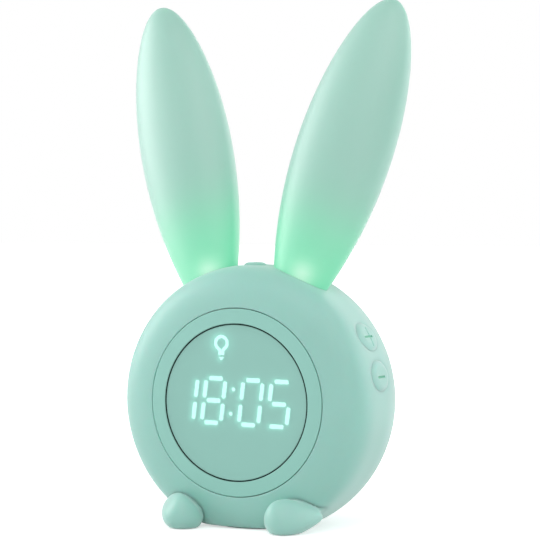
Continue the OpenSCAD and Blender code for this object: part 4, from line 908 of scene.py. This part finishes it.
def table_paint():
    """Matt white table: its own light for the camera, which grows to full white away from the clock."""
    material, tree = blank("matt_white_table")
    matt = add(tree, "ShaderNodeBsdfDiffuse", None, {"Color": (0.8, 0.8, 0.8, 1)})
    place = add(tree, "ShaderNodeTexCoord")
    far = add(tree, "ShaderNodeVectorMath", {"operation": "LENGTH"}, {0: place.outputs["Object"]})
    level = add(tree, "ShaderNodeMapRange", {"interpolation_type": "SMOOTHSTEP"},
                {"Value": far.outputs["Value"],
                 "From Min": 0.10, "From Max": 0.30, "To Min": 0.55, "To Max": 1.0})
    glow = add(tree, "ShaderNodeEmission", None, {"Color": (1, 1, 1, 1), "Strength": level.outputs["Result"]})
    lifted = add(tree, "ShaderNodeAddShader", None, {0: matt.outputs["BSDF"], 1: glow.outputs["Emission"]})
    both = add(tree, "ShaderNodeMixShader", None,
               {"Fac": sees_background(tree), 1: matt.outputs["BSDF"], 2: lifted.outputs["Shader"]})
    add(tree, "ShaderNodeOutputMaterial", None, {"Surface": both.outputs["Shader"]})
    return material


TABLE_HALF = 6.0                        # metres
table_mesh = bpy.data.meshes.new("table")
table_mesh.from_pydata([(x * TABLE_HALF, y * TABLE_HALF, 0) for x, y in ((-1, -1), (1, -1), (1, 1), (-1, 1))],
                       [], [(0, 1, 2, 3)])
table_mesh.materials.append(table_paint())
table_top = placed("table", table_mesh)

ROOM_LIGHT = 0.38
world = bpy.data.worlds.new("studio")
bpy.context.scene.world = world
world.use_nodes = True
tree = world.node_tree
tree.nodes.clear()
room = add(tree, "ShaderNodeBackground", None, {"Color": (1, 1, 1, 1), "Strength": ROOM_LIGHT})
white = add(tree, "ShaderNodeBackground", None, {"Color": (1, 1, 1, 1), "Strength": 1.0})
both = add(tree, "ShaderNodeMixShader", None,
           {"Fac": sees_background(tree), 1: room.outputs["Background"], 2: white.outputs["Background"]})
add(tree, "ShaderNodeOutputWorld", None, {"Surface": both.outputs["Shader"]})

AIM = Vector((0, 0, 0.09))              # metres, as are the lamps' distances and sizes


def softbox(name, azimuth, elevation, away, size, watts):
    """A square soft light aimed at the clock's middle. Azimuth 0 is in front, 90 is on the +X side."""
    light = bpy.data.lights.new(name, "AREA")
    light.shape = "SQUARE"
    light.size = size
    light.energy = watts
    obj = placed(name, light)
    a, e = math.radians(azimuth), math.radians(elevation)
    at = AIM + away * Vector((math.sin(a) * math.cos(e), -math.cos(a) * math.cos(e), math.sin(e)))
    obj.matrix_world = Matrix.Translation(at) @ (AIM - at).to_track_quat("-Z", "Y").to_matrix().to_4x4()


softbox("left_light", -50, 25, 1.1, 0.8, 0.6)
softbox("left_edge_light", -78, 18, 1.0, 0.6, 5.1)
softbox("low_front_light", 26, 4, 1.1, 0.5, 0.9)
softbox("high_front_light", 16, 42, 1.1, 0.7, 2.9)
softbox("right_light", 118, 12, 1.1, 0.8, 3.6)
softbox("high_right_light", 66, 45, 1.1, 0.8, 1.9)
softbox("back_light", 160, 25, 1.1, 0.8, 1.6)

camera = bpy.data.cameras.new("camera")
camera.sensor_width = 36.0
camera.lens = 160.74
camera.clip_start = 0.05
camera.clip_end = 50.0
eye = placed("camera", camera)
at = Vector((0.38887, -0.80581, 0.11739))
look = Vector((-0.43116, 0.90191, -0.02567)).normalized()
right = look.cross(Vector((0, 0, 1))).normalized()
up = right.cross(look)
eye.matrix_world = Matrix.Translation(at) @ Matrix((right, up, -look)).transposed().to_4x4()
bpy.context.scene.camera = eye

bpy.context.scene.view_settings.view_transform = "Standard"
